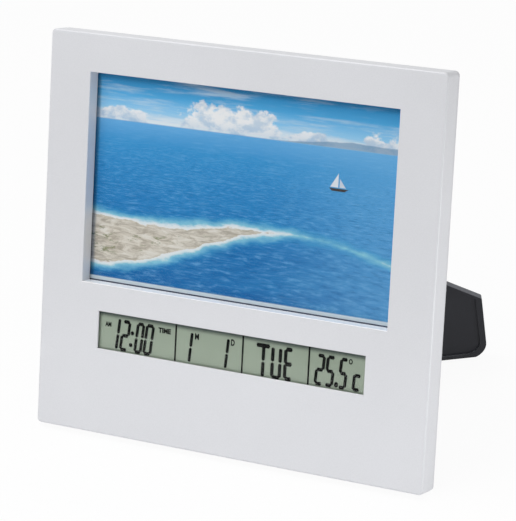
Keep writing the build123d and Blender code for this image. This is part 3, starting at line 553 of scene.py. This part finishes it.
def shore_distance(across, up):
    """Nought at the water's edge, negative on land, positive out to sea."""
    bend = times(maths("SINE", maths("MULTIPLY_ADD", across, 2.6, 0.7)), 0.15)
    middle = plus(bend, -0.44)
    half = eased(across, -1.2, 0.58, 0.24, -0.03)
    away = minus(size_of(minus(up, middle)), half)
    ragged = paint(across, up, (6.5, 9.0, 2.2), 7, 0.62)
    return plus(away, times(minus(ragged, 0.5), 0.13))


def land_and_shallows(across, up, water):
    """Sand, foam and shallows over the open water."""
    distance = shore_distance(across, up)
    rings = ramp(plus(distance, SHORE_STOP), [
        (0, (236, 230, 218)), (0.26, (238, 233, 224)), (0.283, (206, 194, 172)), (0.293, (250, 252, 253)),
        (0.31, (236, 246, 250)), (0.328, (150, 216, 236)), (0.38, (80, 184, 226)), (0.48, (44, 150, 212)),
        (1, (30, 130, 200)),
    ])
    ridges = paint(across, up, (9.0, 22.0, 9.4), 8, 0.68, 0.6)
    on_land = eased(distance, -0.004, -0.03)
    rock = ramp(ridges, [
        (0, (120, 108, 96)), (0.4, (176, 164, 146)), (0.52, (226, 218, 204)), (0.62, (244, 239, 230)),
        (1, (250, 246, 238)),
    ])
    rings = mixed(times(on_land, 0.75), rings, rock)
    scrub = paint(across, up, (14.0, 26.0, 4.4), 6, 0.7)
    inland = eased(distance, -0.06, -0.13)
    green = times(eased(scrub, 0.54, 0.62), inland)
    rings = mixed(green, rings, rgb(150, 152, 118))
    return mixed(eased(distance, 0.11, 0.02), water, rings)


print("sand: one tongue from the left edge, two thirds across")

# %% [markdown]
# The sail is the picture's only sharp thing, and gives the sea its scale. A triangle is the overlap of
# three half planes, so it is the smallest of three straight-line distances.

# %% The sail and the whole picture
SAIL_EDGE = 0.004


def half_plane(across, up, point, slope_across, slope_up):
    """Positive on one side of a line through point."""
    first = times(minus(across, point[0]), slope_across)
    return maths("MULTIPLY_ADD", minus(up, point[1]), slope_up, first)


def patch(across, up, sides):
    """1 inside the overlap of the half planes, 0 outside."""
    inside = half_plane(across, up, *sides[0])
    for side in sides[1:]:
        inside = maths("MINIMUM", inside, half_plane(across, up, *side))
    return eased(inside, 0.0, SAIL_EDGE)


def sail_boat(across, up, behind):
    """A small boat under two sails."""
    foot = (0.6, 0.2)
    main = patch(across, up, [(foot, -1.0, 0.0), ((0.545, 0.2), 0.93, -0.36), (foot, 0.0, 1.0)])
    front = patch(across, up, [((0.605, 0.2), 1.0, 0.0), ((0.65, 0.2), -0.9, -0.44), (foot, 0.0, 1.0)])
    hull = patch(across, up, [
        ((0.6, 0.194), 0.0, -1.0), ((0.6, 0.165), 0.0, 1.0), ((0.54, 0.19), 0.8, 0.6),
        ((0.665, 0.19), -0.6, 0.6),
    ])
    picture = mixed(main, behind, rgb(246, 248, 250))
    picture = mixed(front, picture, rgb(226, 232, 240))
    return mixed(hull, picture, rgb(70, 62, 60))


# a pale band along the print's lower edge with a dark line below it, and the print's front face, in
# millimetres
PALE_BAND_TOP = (68.1, 67.5)
DARK_LINE_SPAN = (66.3, 66.05)
PRINT_FRONT = (-7.08, -7.12)


def make_print():
    """The seaside print on its paper, with a painted shadow along the window's left wall and under its upper
    lip.
    """
    tree = new_finish("print_paper")
    across, up, face_up, out = print_place(tree)
    above = eased(up, HORIZON - 0.006, HORIZON + 0.006)
    water = land_and_shallows(across, up, sea(across, up))
    scene_colour = far_coast(across, up, mixed(above, water, sky(across, up)))
    scene_colour = sail_boat(across, up, scene_colour)
    # painted shadow of the window's left wall and upper lip on the print
    left_wall_shadow = eased(across, -0.972, -0.996, 0.0, 0.6)
    upper_lip_shadow = eased(up, 0.91, 0.975, 0.0, 0.45)
    shade = larger(left_wall_shadow, upper_lip_shadow)
    scene_colour = mixed(shade, scene_colour, rgb(16, 74, 112))
    scene_colour = mixed(fades(face_up, PALE_BAND_TOP), scene_colour, rgb(238, 250, 255))
    scene_colour = mixed(fades(face_up, DARK_LINE_SPAN), scene_colour, rgb(92, 98, 122))
    scene_colour = mixed(fades(out, PRINT_FRONT), scene_colour, rgb(240, 240, 236))
    grain = noise(world_place(tree), 3500, 2)
    dots = mixed(eased(grain, 0.35, 0.65, 0.0, 0.02), scene_colour, rgb(255, 255, 255))
    surface(dots, (grain, 0.34, 0.44), (grain, 0.2, 0.01), shine=0.1)


make_print()
print("picture made of", len(finishes["print_paper"].node_tree.nodes), "nodes")

# %% [markdown]
# ## Behind the picture and behind the display
#
# The backing is grey-brown pressed card, full of short fibres. The display panel is grey-green glass with a
# polariser on it, a colour that nearly every plain liquid crystal display shares. The board is green
# laminate: tracks show through its lacquer as slightly darker lines. The cells have a metal can under a
# printed sleeve.

# %% Card, display glass and laminate
def make_card():
    """Pressed card."""
    tree = new_finish("backing_card")
    place = face_place(tree)
    fibre = noise(stretched(place, (900, 5200, 900)), 1, 3, 0.7)
    cloud = noise(place, 60, 4)
    tone = mixed(eased(fibre, 0.35, 0.7), rgb(150, 138, 120), rgb(186, 174, 154))
    tone = mixed(spread(cloud, 0.0, 0.35), tone, rgb(168, 154, 134))
    surface(tone, (cloud, 0.78, 0.92), (fibre, 0.6, 0.06))


# where the painted shadow of the window's upper lip and left lip begins and ends on the panel, in millimetres
UPPER_LIP = (50.4, 53.3)
LEFT_LIP = (-65.0, -66.2)


def make_display_glass():
    """Grey-green glass under its polariser, with a painted shadow of the window's upper and left lips."""
    tree = new_finish("lcd_glass")
    place = face_place(tree)
    cloud = noise(place, 25, 2)
    film = noise(stretched(place, (5200, 700, 700)), 1, 2)
    tone = mixed(spread(cloud), rgb(170, 182, 166), rgb(179, 191, 175))
    tone = mixed(eased(film, 0.35, 0.7, 0.0, 0.25), tone, rgb(166, 179, 163))
    own = parts_of(place)
    left_lip_shadow = times(fades(own[0], LEFT_LIP), 0.6)
    # painted shadow under the upper lip and beside the left lip, mixed towards dark grey-green
    shade = larger(maths("POWER", fades(own[1], UPPER_LIP), 1.6), left_lip_shadow)
    tone = mixed(shade, tone, rgb(84, 96, 92))
    surface(tone, (film, 0.3, 0.4), shine=0.15)


def make_laminate():
    """Green circuit board with tracks under the lacquer."""
    tree = new_finish("board_laminate")
    place = face_place(tree)
    black, white = (0, 0, 0, 1), (1, 1, 1, 1)
    tracks = join("ShaderNodeTexBrick", {
        "Vector": place, "Scale": 260.0, "Color1": black, "Color2": white, "Mortar": black,
        "Mortar Size": 0.06, "Brick Width": 1.9, "Row Height": 0.42, "Bias": -0.4,
    })
    weave = noise(stretched(place, (2600, 2600, 2600)), 1, 2)
    tone = mixed(tracks.outputs[1], rgb(28, 92, 58), rgb(20, 70, 46))
    tone = mixed(eased(weave, 0.35, 0.7, 0.0, 0.35), tone, rgb(44, 110, 72))
    surface(tone, (weave, 0.26, 0.38), (tracks.outputs[1], 0.4, 0.04))


make_card()
make_display_glass()
make_laminate()
print("card, display glass and laminate ready")

# %% The cells' sleeves
CELL_MIDDLE = 57.15
BAND_START = (13.0, 13.2)
SLEEVE_END = (20.8, 20.9)


def make_sleeve():
    """A plain printed sleeve with a band at each end and bare metal beyond it."""
    tree = new_finish("cell_jacket")
    place = face_place(tree)
    away = size_of(plus(parts_of(place)[0], CELL_MIDDLE * MM))
    scuff = noise(stretched(place, (200, 1500, 1500)), 1, 3)
    tone = mixed(fades(away, BAND_START), rgb(222, 226, 230), rgb(38, 92, 150))
    tone = mixed(eased(scuff, 0.55, 0.8, 0.0, 0.3), tone, rgb(176, 182, 190))
    metal = fades(away, SLEEVE_END)
    tone = mixed(metal, tone, rgb(200, 200, 198))
    surface(tone, (scuff, 0.24, 0.38), metal=metal)


make_sleeve()
print("cells: a pale sleeve with a blue band at each end")

# %% [markdown]
# ## Dress the solids
#
# The record names one finish for each solid. Each solid keeps its shape, and only the material in its slots
# is changed.

# %% Give each solid its finish
finish_of = {
    "frame_plastic": "front_frame",
    "cover_plastic": "rear_cover battery_hatch",
    "door_plastic": "photo_door",
    "leg_plastic": "stand_leg",
    "plated_steel": "hinge_bracket hinge_pin",
    "clear_glazing": "photo_glazing",
    "print_paper": "photo_print",
    "backing_card": "backing_board",
    "clear_lens": "display_lens",
    "lcd_glass": "display_panel",
    "reflector_foil": "display_reflector",
    "zebra_rubber": "strip_connector",
    "holder_plastic": "display_holder",
    "board_laminate": "circuit_board",
    "chip_resin": "clock_chip",
    "tinned_steel": "quartz_crystal",
    "sensor_resin": "temperature_sensor",
    "switch_plastic": "key_switches",
    "sounder_plastic": "sounder",
    "wire_black": "sounder_leads battery_lead_negative",
    "wire_red": "battery_lead_positive",
    "cell_jacket": "battery_cell_lower battery_cell_upper",
    "spring_steel": "link_contact positive_contact negative_contact",
    "key_rubber": "mode_key set_key up_key down_key degrees_key",
}


def dress(node_name, finish):
    """Puts one finish in every slot of a solid."""
    solid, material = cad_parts[node_name], finishes[finish]
    if not solid.material_slots:
        solid.data.materials.append(material)
    for material_slot in solid.material_slots:
        material_slot.material = material


for finish, node_names in finish_of.items():
    for node_name in node_names.split():
        dress(node_name, finish)
dressed = set(" ".join(finish_of.values()).split())
print("dressed:", len(dressed), "left for new pieces:", sorted(set(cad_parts) - dressed))

# %% [markdown]
# ## The display's dark marks
#
# A liquid crystal display shows thin bars that turn dark, seven to a figure. They all have one shape, a
# strip with pointed ends, and only their place, direction and length differ. That is a job for Geometry
# Nodes: the script gives one point for each bar, and the tree puts a six-sided prism on every point and
# then pulls its two halves apart to the bar's length, so that the points at its ends keep their angle.

# %% The tree that makes bars from strokes
def geometry_tree(name, inputs):
    """An empty Geometry Nodes tree with named inputs, their outputs inside it, and their identifiers."""
    tree = bpy.data.node_groups.new(name, "GeometryNodeTree")
    for way in ("OUTPUT", "INPUT"):
        tree.interface.new_socket("Geometry", in_out=way, socket_type="NodeSocketGeometry")
    identifiers = {}
    for label, kind in inputs:
        given = tree.interface.new_socket(label, in_out="INPUT", socket_type="NodeSocket" + kind)
        identifiers[label] = given.identifier
    return tree, put(tree, "NodeGroupInput").outputs, identifiers


def attribute(tree, name):
    """A number that each point carries."""
    return put(tree, "GeometryNodeInputNamedAttribute", {"Name": name}, data_type="FLOAT").outputs[0]


def on_points(tree, given, instance, scale=(1, 1, 1)):
    """The instance on every given point, turned by the point's own turn, as one real mesh."""
    euler = vector(z=attribute(tree, "turn"))
    placed = join("GeometryNodeInstanceOnPoints", {
        "Points": given["Geometry"], "Instance": instance, "Scale": scale,
        "Rotation": join("FunctionNodeEulerToRotation", {0: euler}).outputs[0],
    })
    return join("GeometryNodeRealizeInstances", {0: placed.outputs[0]}).outputs[0]


def end_tree(geometry, finish):
    """Hands the geometry out in its finish."""
    coloured = join("GeometryNodeSetMaterial", {"Geometry": geometry, "Material": finish})
    join("NodeGroupOutput", {0: coloured.outputs[0]})


def bar_tree():
    """Points that carry turn, run and fat become bars."""
    tree, given, identifiers = geometry_tree("display_bars", [
        ("Bar Width", "Float"), ("Bar Thickness", "Float"), ("Bar Finish", "Material"),
    ])
    point_radius = over(given["Bar Width"], math.sqrt(3))
    prism_sizes = {"Vertices": 6, "Radius": point_radius, "Depth": given["Bar Thickness"]}
    prism = join("GeometryNodeMeshCylinder", prism_sizes)
    own_across = parts_of(put(tree, "GeometryNodeInputPosition").outputs[0])[0]
    marked = join("GeometryNodeStoreNamedAttribute", {
        "Geometry": prism.outputs[0], "Name": "end_side", "Value": maths("SIGN", own_across),
    }, data_type="FLOAT", domain="POINT")
    real = on_points(tree, given, marked.outputs[0], vector(1.0, attribute(tree, "fat"), 1.0))
    half_run = minus(over(attribute(tree, "run"), 2.0), point_radius)
    pull = times(half_run, attribute(tree, "end_side"))
    turn = attribute(tree, "turn")
    offset = [times(pull, maths(wave, turn)) for wave in ("COSINE", "SINE")]
    pulled = join("GeometryNodeSetPosition", {"Geometry": real, "Offset": vector(*offset)})
    end_tree(pulled.outputs[0], given["Bar Finish"])
    return tree, identifiers


bars, bar_inputs = bar_tree()
print("bar tree:", len(bars.nodes), "nodes, inputs", list(bar_inputs))

# %% [markdown]
# Which strokes make which sign? Seven bars round two squares give every figure. The letters of the weekday
# use the same bars, and a capital T has its stem in the middle. The figures lean to the right by a few
# degrees, as on nearly every such display, while the weekday stands almost upright.

# %% Strokes of the signs
CORNERS = {"tl": (0, 1), "tm": (0.5, 1), "tr": (1, 1), "ml": (0, 0.5), "mm": (0.5, 0.5), "mr": (1, 0.5),
           "bl": (0, 0), "bm": (0.5, 0), "br": (1, 0)}
SEGMENTS = {"a": ("tl", "tr"), "b": ("tr", "mr"), "c": ("mr", "br"), "d": ("bl", "br"), "e": ("ml", "bl"),
            "f": ("tl", "ml"), "g": ("ml", "mr"), "s": ("tm", "mm"), "t": ("mm", "bm")}
SIGNS = {"0": "abcdef", "1": "bc", "2": "abged", "5": "afgcd", "U": "fbecd", "E": "afged", "T": "st"}
LOW, HIGH = 38.4, 50.7
# sign, its left and right bars, how far it goes below LOW and above HIGH, and its slant
TIME = [("1", -59.8, -56.7, 0.3, 1.0, 0.11), ("2", -54.6, -51.45, 0, 0, 0.11),
        ("0", -47.25, -44.4, 0, 0, 0.11), ("0", -42.65, -39.5, 0, 0, 0.11)]
DATE = [("1", -22.8, -19.85, 0.4, 0.3, 0.085), ("1", -5.3, -1.95, 0.4, 0.3, 0.085)]
WARMTH = [("2", 41.5, 44.5, -0.2, -0.2, 0.075), ("5", 46.3, 49.3, -0.2, -0.2, 0.075),
          ("5", 52.6, 55.4, -0.2, -0.2, 0.075)]
WEEKDAY = [("T", 13.6, 18.9, 1.2, 0, 0.01), ("U", 20.75, 24.4, 0.5, 0, 0.01), ("E", 26.9, 30.1, 0.2, 0, 0.01)]


def strokes_of(sign, left, right, below, above, slant):
    """The sign's strokes as pairs of points, in millimetres on the face, between bar middles."""
    made = []
    low, high = LOW - below, HIGH + above
    for letter in SIGNS[sign]:
        pair = []
        for corner in SEGMENTS[letter]:
            share_across, share_up = CORNERS[corner]
            up = low + (high - low) * share_up
            pair.append((left + (right - left) * share_across + slant * (up - low), up))
        made.append(pair)
    return made


strokes = [stroke for row in TIME + DATE + WARMTH for stroke in strokes_of(*row)]
day_strokes = [stroke for row in WEEKDAY for stroke in strokes_of(*row)]
print("strokes:", len(strokes), "for figures and", len(day_strokes), "for the weekday")

# %% [markdown]
# The tree reads three numbers from each point: its turn, its run and how fat it is. They go onto a mesh of
# loose points as attributes. A small gap is left where two bars would meet. The finished bars are laid into
# the narrow space between the lens and the panel.

# %% From strokes to a plain mesh
BAR_GAP = 0.3
BAR_THICKNESS = 0.05
MARK_DEPTH = 1.92
LEVEL_FAT = 1.12  # level bars are a little thicker than upright ones
LEVEL_REACH = 0.25  # and reach further towards their neighbours


def make_ink():
    """The dark of a switched bar: not black, slightly green, with a fine unevenness."""
    tree = new_finish("display_ink")
    place = world_place(tree)
    cloud = noise(place, 900, 2)
    tone = mixed(spread(cloud), rgb(8, 10, 10), rgb(16, 19, 18))
    surface(tone, (cloud, 0.4, 0.5), shine=0.05)


def bake(obj, name, matrix=None):
    """The evaluated object as a plain mesh object with its place in its mesh; the old object goes."""
    obj.update_tag()
    view_layer = bpy.context.evaluated_depsgraph_get()
    view_layer.update()
    mesh = bpy.data.meshes.new_from_object(obj.evaluated_get(view_layer))
    if matrix is not None:
        mesh.transform(matrix)
    bpy.data.objects.remove(obj)
    mesh.name = name
    return add_object(name, mesh)


def points_object(name, places, numbers, tree, settings):
    """Loose points in millimetres that carry numbers, under a Geometry Nodes tree with its settings."""
    mesh = bpy.data.meshes.new(name)
    mesh.from_pydata([(across * MM, up * MM, 0) for across, up in places], [], [])
    for label, values in numbers.items():
        mesh.attributes.new(label, "FLOAT", "POINT").data.foreach_set("value", values)
    obj = add_object(name, mesh)
    modifier = obj.modifiers.new(tree.name, "NODES")
    modifier.node_group = tree
    for identifier, value in settings.items():
        modifier[identifier] = value
    return obj


def bars_from(name, bar_strokes, width, gap=BAR_GAP):
    """Bars for a list of strokes, laid at the marks' depth."""
    places, turns, runs, fats = [], [], [], []
    for start, end in bar_strokes:
        across, up = end[0] - start[0], end[1] - start[1]
        is_level = abs(across) > abs(up)
        places.append(((start[0] + end[0]) / 2, (start[1] + end[1]) / 2))
        turns.append(math.atan2(up, across))
        runs.append((math.dist(start, end) - (gap - LEVEL_REACH if is_level else gap)) * MM)
        fats.append(LEVEL_FAT if is_level else 1.0)
    obj = points_object(name, places, {"turn": turns, "run": runs, "fat": fats}, bars, {
        bar_inputs["Bar Width"]: width * MM, bar_inputs["Bar Thickness"]: BAR_THICKNESS * MM,
        bar_inputs["Bar Finish"]: finishes["display_ink"],
    })
    return bake(obj, name, face_matrix(MARK_DEPTH))


make_ink()
figures = bars_from("display_figures", strokes, 1.4)
weekday = bars_from("display_weekday", day_strokes, 1.6)
print("figures:", len(figures.data.polygons), "faces")

# %% The other bars: dividers, the T's thick top, points and the small c
DIVIDER_LOW, DIVIDER_HIGH = 37.2, 54.3
COLON = ((-49.35, 40.9), (-48.75, 46.15))
dividers = bars_from("display_dividers", [
    ((across, DIVIDER_LOW), (across, DIVIDER_HIGH)) for across in (-26.85, 6.25, 38.15)
], 0.8, gap=0.0)
thick_top = bars_from("display_thick_top", [((12.75, 50.6), (19.4, 50.6))], 1.6)
colon_dots = [((across - 0.1, up - 1.0), (across + 0.1, up + 1.0)) for across, up in COLON]
points = bars_from("display_points", [*colon_dots, ((51.35, 38.2), (51.5, 40.6))], 1.75, gap=0.0)
small_c = bars_from("display_small_c", [
    ((59.9, 44.6), (62.6, 44.6)), ((59.8, 44.9), (59.4, 38.4)), ((59.5, 38.7), (62.1, 38.7)),
], 1.35, gap=0.1)
print("dividers, thick top, points and small c made")

# %% [markdown]
# The tiny words beside the figures are printed shapes, not bars. Blender's text object draws them. Its mesh
# is taken, squeezed into the box that each word has on the real display, and laid in with the bars.

# %% The small words
def small_word(name, letters, left, low, right, high, weight=0.07):
    """A word fitted into a box on the face, in millimetres."""
    curve = bpy.data.curves.new(name, "FONT")
    curve.body = letters
    curve.size = 2 * MM
    curve.extrude = BAR_THICKNESS / 2 * MM
    curve.resolution_u = 4
    curve.offset = weight * MM
    word = bake(add_object(name, curve), name)
    xs = [v.co.x for v in word.data.vertices]
    ys = [v.co.y for v in word.data.vertices]
    scale_x = (right - left) * MM / (max(xs) - min(xs))
    scale_y = (high - low) * MM / (max(ys) - min(ys))
    fit = Matrix.Diagonal((scale_x, scale_y, 1, 1)) @ Matrix.Translation((-min(xs), -min(ys), 0))
    word.data.transform(face_matrix(MARK_DEPTH) @ Matrix.Translation((left * MM, low * MM, 0)) @ fit)
    word.data.materials.clear()
    word.data.materials.append(finishes["display_ink"])
    return word


words = [
    small_word("display_word_am", "AM", -62.7, 47.4, -59.6, 49.5, weight=0.1),
    small_word("display_word_time", "TIME", -35.7, 48.5, -29.4, 50.8, weight=0.09),
    small_word("display_word_month", "M", -17.4, 48.2, -15.4, 50.9),
    small_word("display_word_day", "D", 0.4, 48.2, 2.2, 51.0),
    small_word("display_degree_ring", "o", 56.8, 48.9, 58.6, 51.2, weight=0.02),
]
marks = [figures, weekday, dividers, thick_top, points, small_c, *words]
for mark in marks:
    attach(mark, "clock_body")
print("marks on the display:", len(marks))

# %% [markdown]
# ## Screws
#
# The case is held by six countersunk screws and the hinge bracket by four flat-headed ones, all with a cross
# recess. A second Geometry Nodes tree builds one screw from a head, a shank and a recess cut by two crossed
# wedges, and puts it on every point. A bevel then rounds the rims, which is where a screw head catches the
# light. The six small screws of the board stay as the model has them.

# %% The tree that makes screws
SCREW_SIZES = ("Head Radius", "Head Foot Radius", "Head Height", "Shank Radius", "Shank Length")
WEDGE_LENGTH, WEDGE_WIDTH = 1.15, 0.26  # as shares of the head's radius


def screw_tree():
    """Points become screws whose heads look along the tree's own z axis."""
    sizes = [(label, "Float") for label in SCREW_SIZES]
    tree, given, identifiers = geometry_tree("cross_screws", [*sizes, ("Screw Finish", "Material")])
    head_radius, foot_radius, head_height, shank_radius, shank_length = map(given.get, SCREW_SIZES)
    head = join("GeometryNodeMeshCone", {
        "Vertices": 40, "Radius Top": head_radius, "Radius Bottom": foot_radius, "Depth": head_height,
    })
    lift = vector(z=times(head_height, -1.0))
    head = join("GeometryNodeTransform", {"Geometry": head.outputs[0], "Translation": lift})
    shank = join("GeometryNodeMeshCylinder", {"Vertices": 24, "Radius": shank_radius, "Depth": shank_length})
    sink = vector(z=maths("MULTIPLY_ADD", shank_length, -0.5, times(head_height, -0.7)))
    shank = join("GeometryNodeTransform", {"Geometry": shank.outputs[0], "Translation": sink})
    cut = join("GeometryNodeMeshBoolean", {"Mesh 1": head.outputs[0]}, operation="DIFFERENCE", solver="EXACT")
    wedge = vector(times(head_radius, WEDGE_LENGTH), times(head_radius, WEDGE_WIDTH), head_height)
    for turn in (0.0, math.pi / 2):
        cube = join("GeometryNodeMeshCube", {"Size": wedge}).outputs[0]
        turned = join("GeometryNodeTransform", {"Geometry": cube, "Rotation": (0.0, 0.0, turn)})
        tree.links.new(turned.outputs[0], cut.inputs["Mesh 2"])
    screw = put(tree, "GeometryNodeJoinGeometry")
    for part in (cut, shank):
        tree.links.new(part.outputs[0], screw.inputs[0])
    end_tree(on_points(tree, given, screw.outputs[0]), given["Screw Finish"])
    return tree, identifiers


screws, screw_inputs = screw_tree()
print("screw tree:", len(screws.nodes), "nodes")

# %% [markdown]
# Each group of screws is one piece and stands for its solid. The screws look backwards, so their flat
# drawing is turned over: up stays up, and across is counted the other way. No two screws stop at the same
# angle when a hand drives them, so each gets its own turn from a fixed row.

# %% Put the screws in
FIRST_TURN, NEXT_TURN = 0.4, 1.9
RIM = 0.09
REAR_FACE, BRACKET_FACE = 10.5, 15.9
# in the order of SCREW_SIZES
CASE_SCREW = (2.4, 1.2, 1.2, 1.2, 5.5)
BRACKET_SCREW = (1.7, 1.9, 1.1, 1.0, 3.6)


def screws_at(name, node_name, body, places, depth, sizes):
    """Screws at places on the face, heads flush with that depth, standing for a solid."""
    settings = {screw_inputs[label]: value * MM for label, value in zip(SCREW_SIZES, sizes)}
    settings[screw_inputs["Screw Finish"]] = finishes["screw_steel"]
    turns = [FIRST_TURN + NEXT_TURN * index for index in range(len(places))]
    obj = points_object(name, [(-across, up) for across, up in places], {"turn": turns}, screws, settings)
    rims = obj.modifiers.new("rims", "BEVEL")
    rims.width = RIM * MM
    rims.segments = 2
    rims.angle_limit = math.radians(35)
    piece = bake(obj, name, face_matrix(depth, -1))
    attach(piece, body)
    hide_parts(node_name)


case_places = [(across, up) for across in (-87.0, 87.0) for up in (12.0, 88.5, 165.0)]
screws_at("case_screw_heads", "case_screws", "clock_body", case_places, REAR_FACE, CASE_SCREW)
print("case screws:", len(case_places))

# %% [markdown]
# The bracket's screws stand on a grid that is turned with the leg, 46.2 degrees below level.

# %% Bracket screws
LEG_TURN = math.radians(-46.2)
HINGE_ACROSS, HINGE_UP = -2.0, 104.5
SIDE, RISE = math.cos(LEG_TURN), math.sin(LEG_TURN)
bracket_places = [
    (HINGE_ACROSS + along * SIDE - aside * RISE, HINGE_UP + along * RISE + aside * SIDE)
    for along in (-5.0, 5.0) for aside in (-19.25, 19.25)
]
screws_at("bracket_screw_heads", "bracket_screws", "photo_door", bracket_places, BRACKET_FACE, BRACKET_SCREW)
dress("board_screws", "screw_steel")
print("bracket screws at", [(round(a, 1), round(b, 1)) for a, b in bracket_places])

# %% [markdown]
# ## The table and the light
#
# The photograph is a catalogue shot on white: broad light from everywhere, a little more from above, and no
# hard shadow. So the sky itself gives most of the light at a plain level, a large soft lamp overhead gives
# the direction, three long low lamps lift the lower and upper face and the right side, and the table is
# white. Seen by the camera, in a reflection or through a sheet, the table and the sky are made fully white,
# and only a small part of the table's shade is kept, for the soft shadow under the clock.

# %% The white table
TABLE_GLOW = 0.94
TABLE_REACH = 4.0


def seen_directly(tree):
    """1 for rays from the camera, from mirrors and through sheets, 0 for light that spreads."""
    rays = put(tree, "ShaderNodeLightPath").outputs
    mirrored = larger(rays["Is Glossy Ray"], rays["Is Transmission Ray"])
    return larger(rays["Is Camera Ray"], mirrored)


def make_table_finish():
    """White paper that keeps a soft shadow."""
    tree = new_finish("white_table")
    fibre = noise(world_place(tree), 400, 3)
    tone = mixed(spread(fibre), rgb(246, 246, 246), rgb(250, 250, 250))
    paper = join("ShaderNodeBsdfDiffuse", {"Color": tone})
    glow = put(tree, "ShaderNodeEmission", {"Color": (1, 1, 1, 1), "Strength": 1.0})
    share = times(seen_directly(tree), TABLE_GLOW)
    finish_with(join("ShaderNodeMixShader", {0: share, 1: paper.outputs[0], 2: glow.outputs[0]}))


table_mesh = bpy.data.meshes.new("white_table")
table_corners = [(x * TABLE_REACH, y * TABLE_REACH, 0) for x, y in ((-1, -1), (1, -1), (1, 1), (-1, 1))]
table_mesh.from_pydata(table_corners, [], [(0, 1, 2, 3)])
make_table_finish()
table_mesh.materials.append(finishes["white_table"])
table = add_object("white_table", table_mesh)
print("table:", 2 * TABLE_REACH, "m square")

# %% Sky and lamps
SKY_LEVEL = 0.45
world = bpy.data.worlds.new("studio_sky")
bpy.context.scene.world = world
world.use_nodes = True
sky_tree = world.node_tree
sky_tree.nodes.clear()
sky_strength = maths("MULTIPLY_ADD", seen_directly(sky_tree), 1 - SKY_LEVEL, SKY_LEVEL)
sky_light = join("ShaderNodeBackground", {"Color": (1, 1, 1, 1), "Strength": sky_strength})
join("ShaderNodeOutputWorld", {"Surface": sky_light.outputs[0]})


def soft_lamp(name, place, size, watts, look_at):
    """A rectangular lamp, size across and high, that faces a place; the camera doesn't see it."""
    data = bpy.data.lights.new(name, "AREA")
    data.shape, data.energy = "RECTANGLE", watts
    data.size, data.size_y = size
    lamp = add_object(name, data)
    lamp.location = place
    lamp.rotation_euler = (Vector(look_at) - Vector(place)).to_track_quat("-Z", "Y").to_euler()
    lamp.visible_camera = False


# place, size, watts and the place that it faces
lamps = {
    "overhead_lamp": ((-0.25, -0.1, 0.95), (0.7, 0.5), 3.4, at_face(0, 90, 0)),
    "low_front_lamp": ((-0.05, -0.28, 0.04), (0.5, 0.05), 0.155, at_face(0, 12, 0)),
    "upper_front_lamp": ((-0.05, -0.13, 0.33), (0.45, 0.06), 0.13, at_face(0, 165, 0)),
    "low_right_lamp": ((0.36, -0.02, 0.04), (0.3, 0.06), 0.29, at_face(95, 15, 5)),
}
for name, (place, size, watts, look_at) in lamps.items():
    soft_lamp(name, place, size, watts, look_at)
print("sky level", SKY_LEVEL, "and lamps", {name: settings[2] for name, settings in lamps.items()})

# %% [markdown]
# ## Ready for the camera
#
# The view transform is Standard, so that a colour comes out as it is written.

# %% Settings and the end
bpy.context.scene.view_settings.view_transform = "Standard"
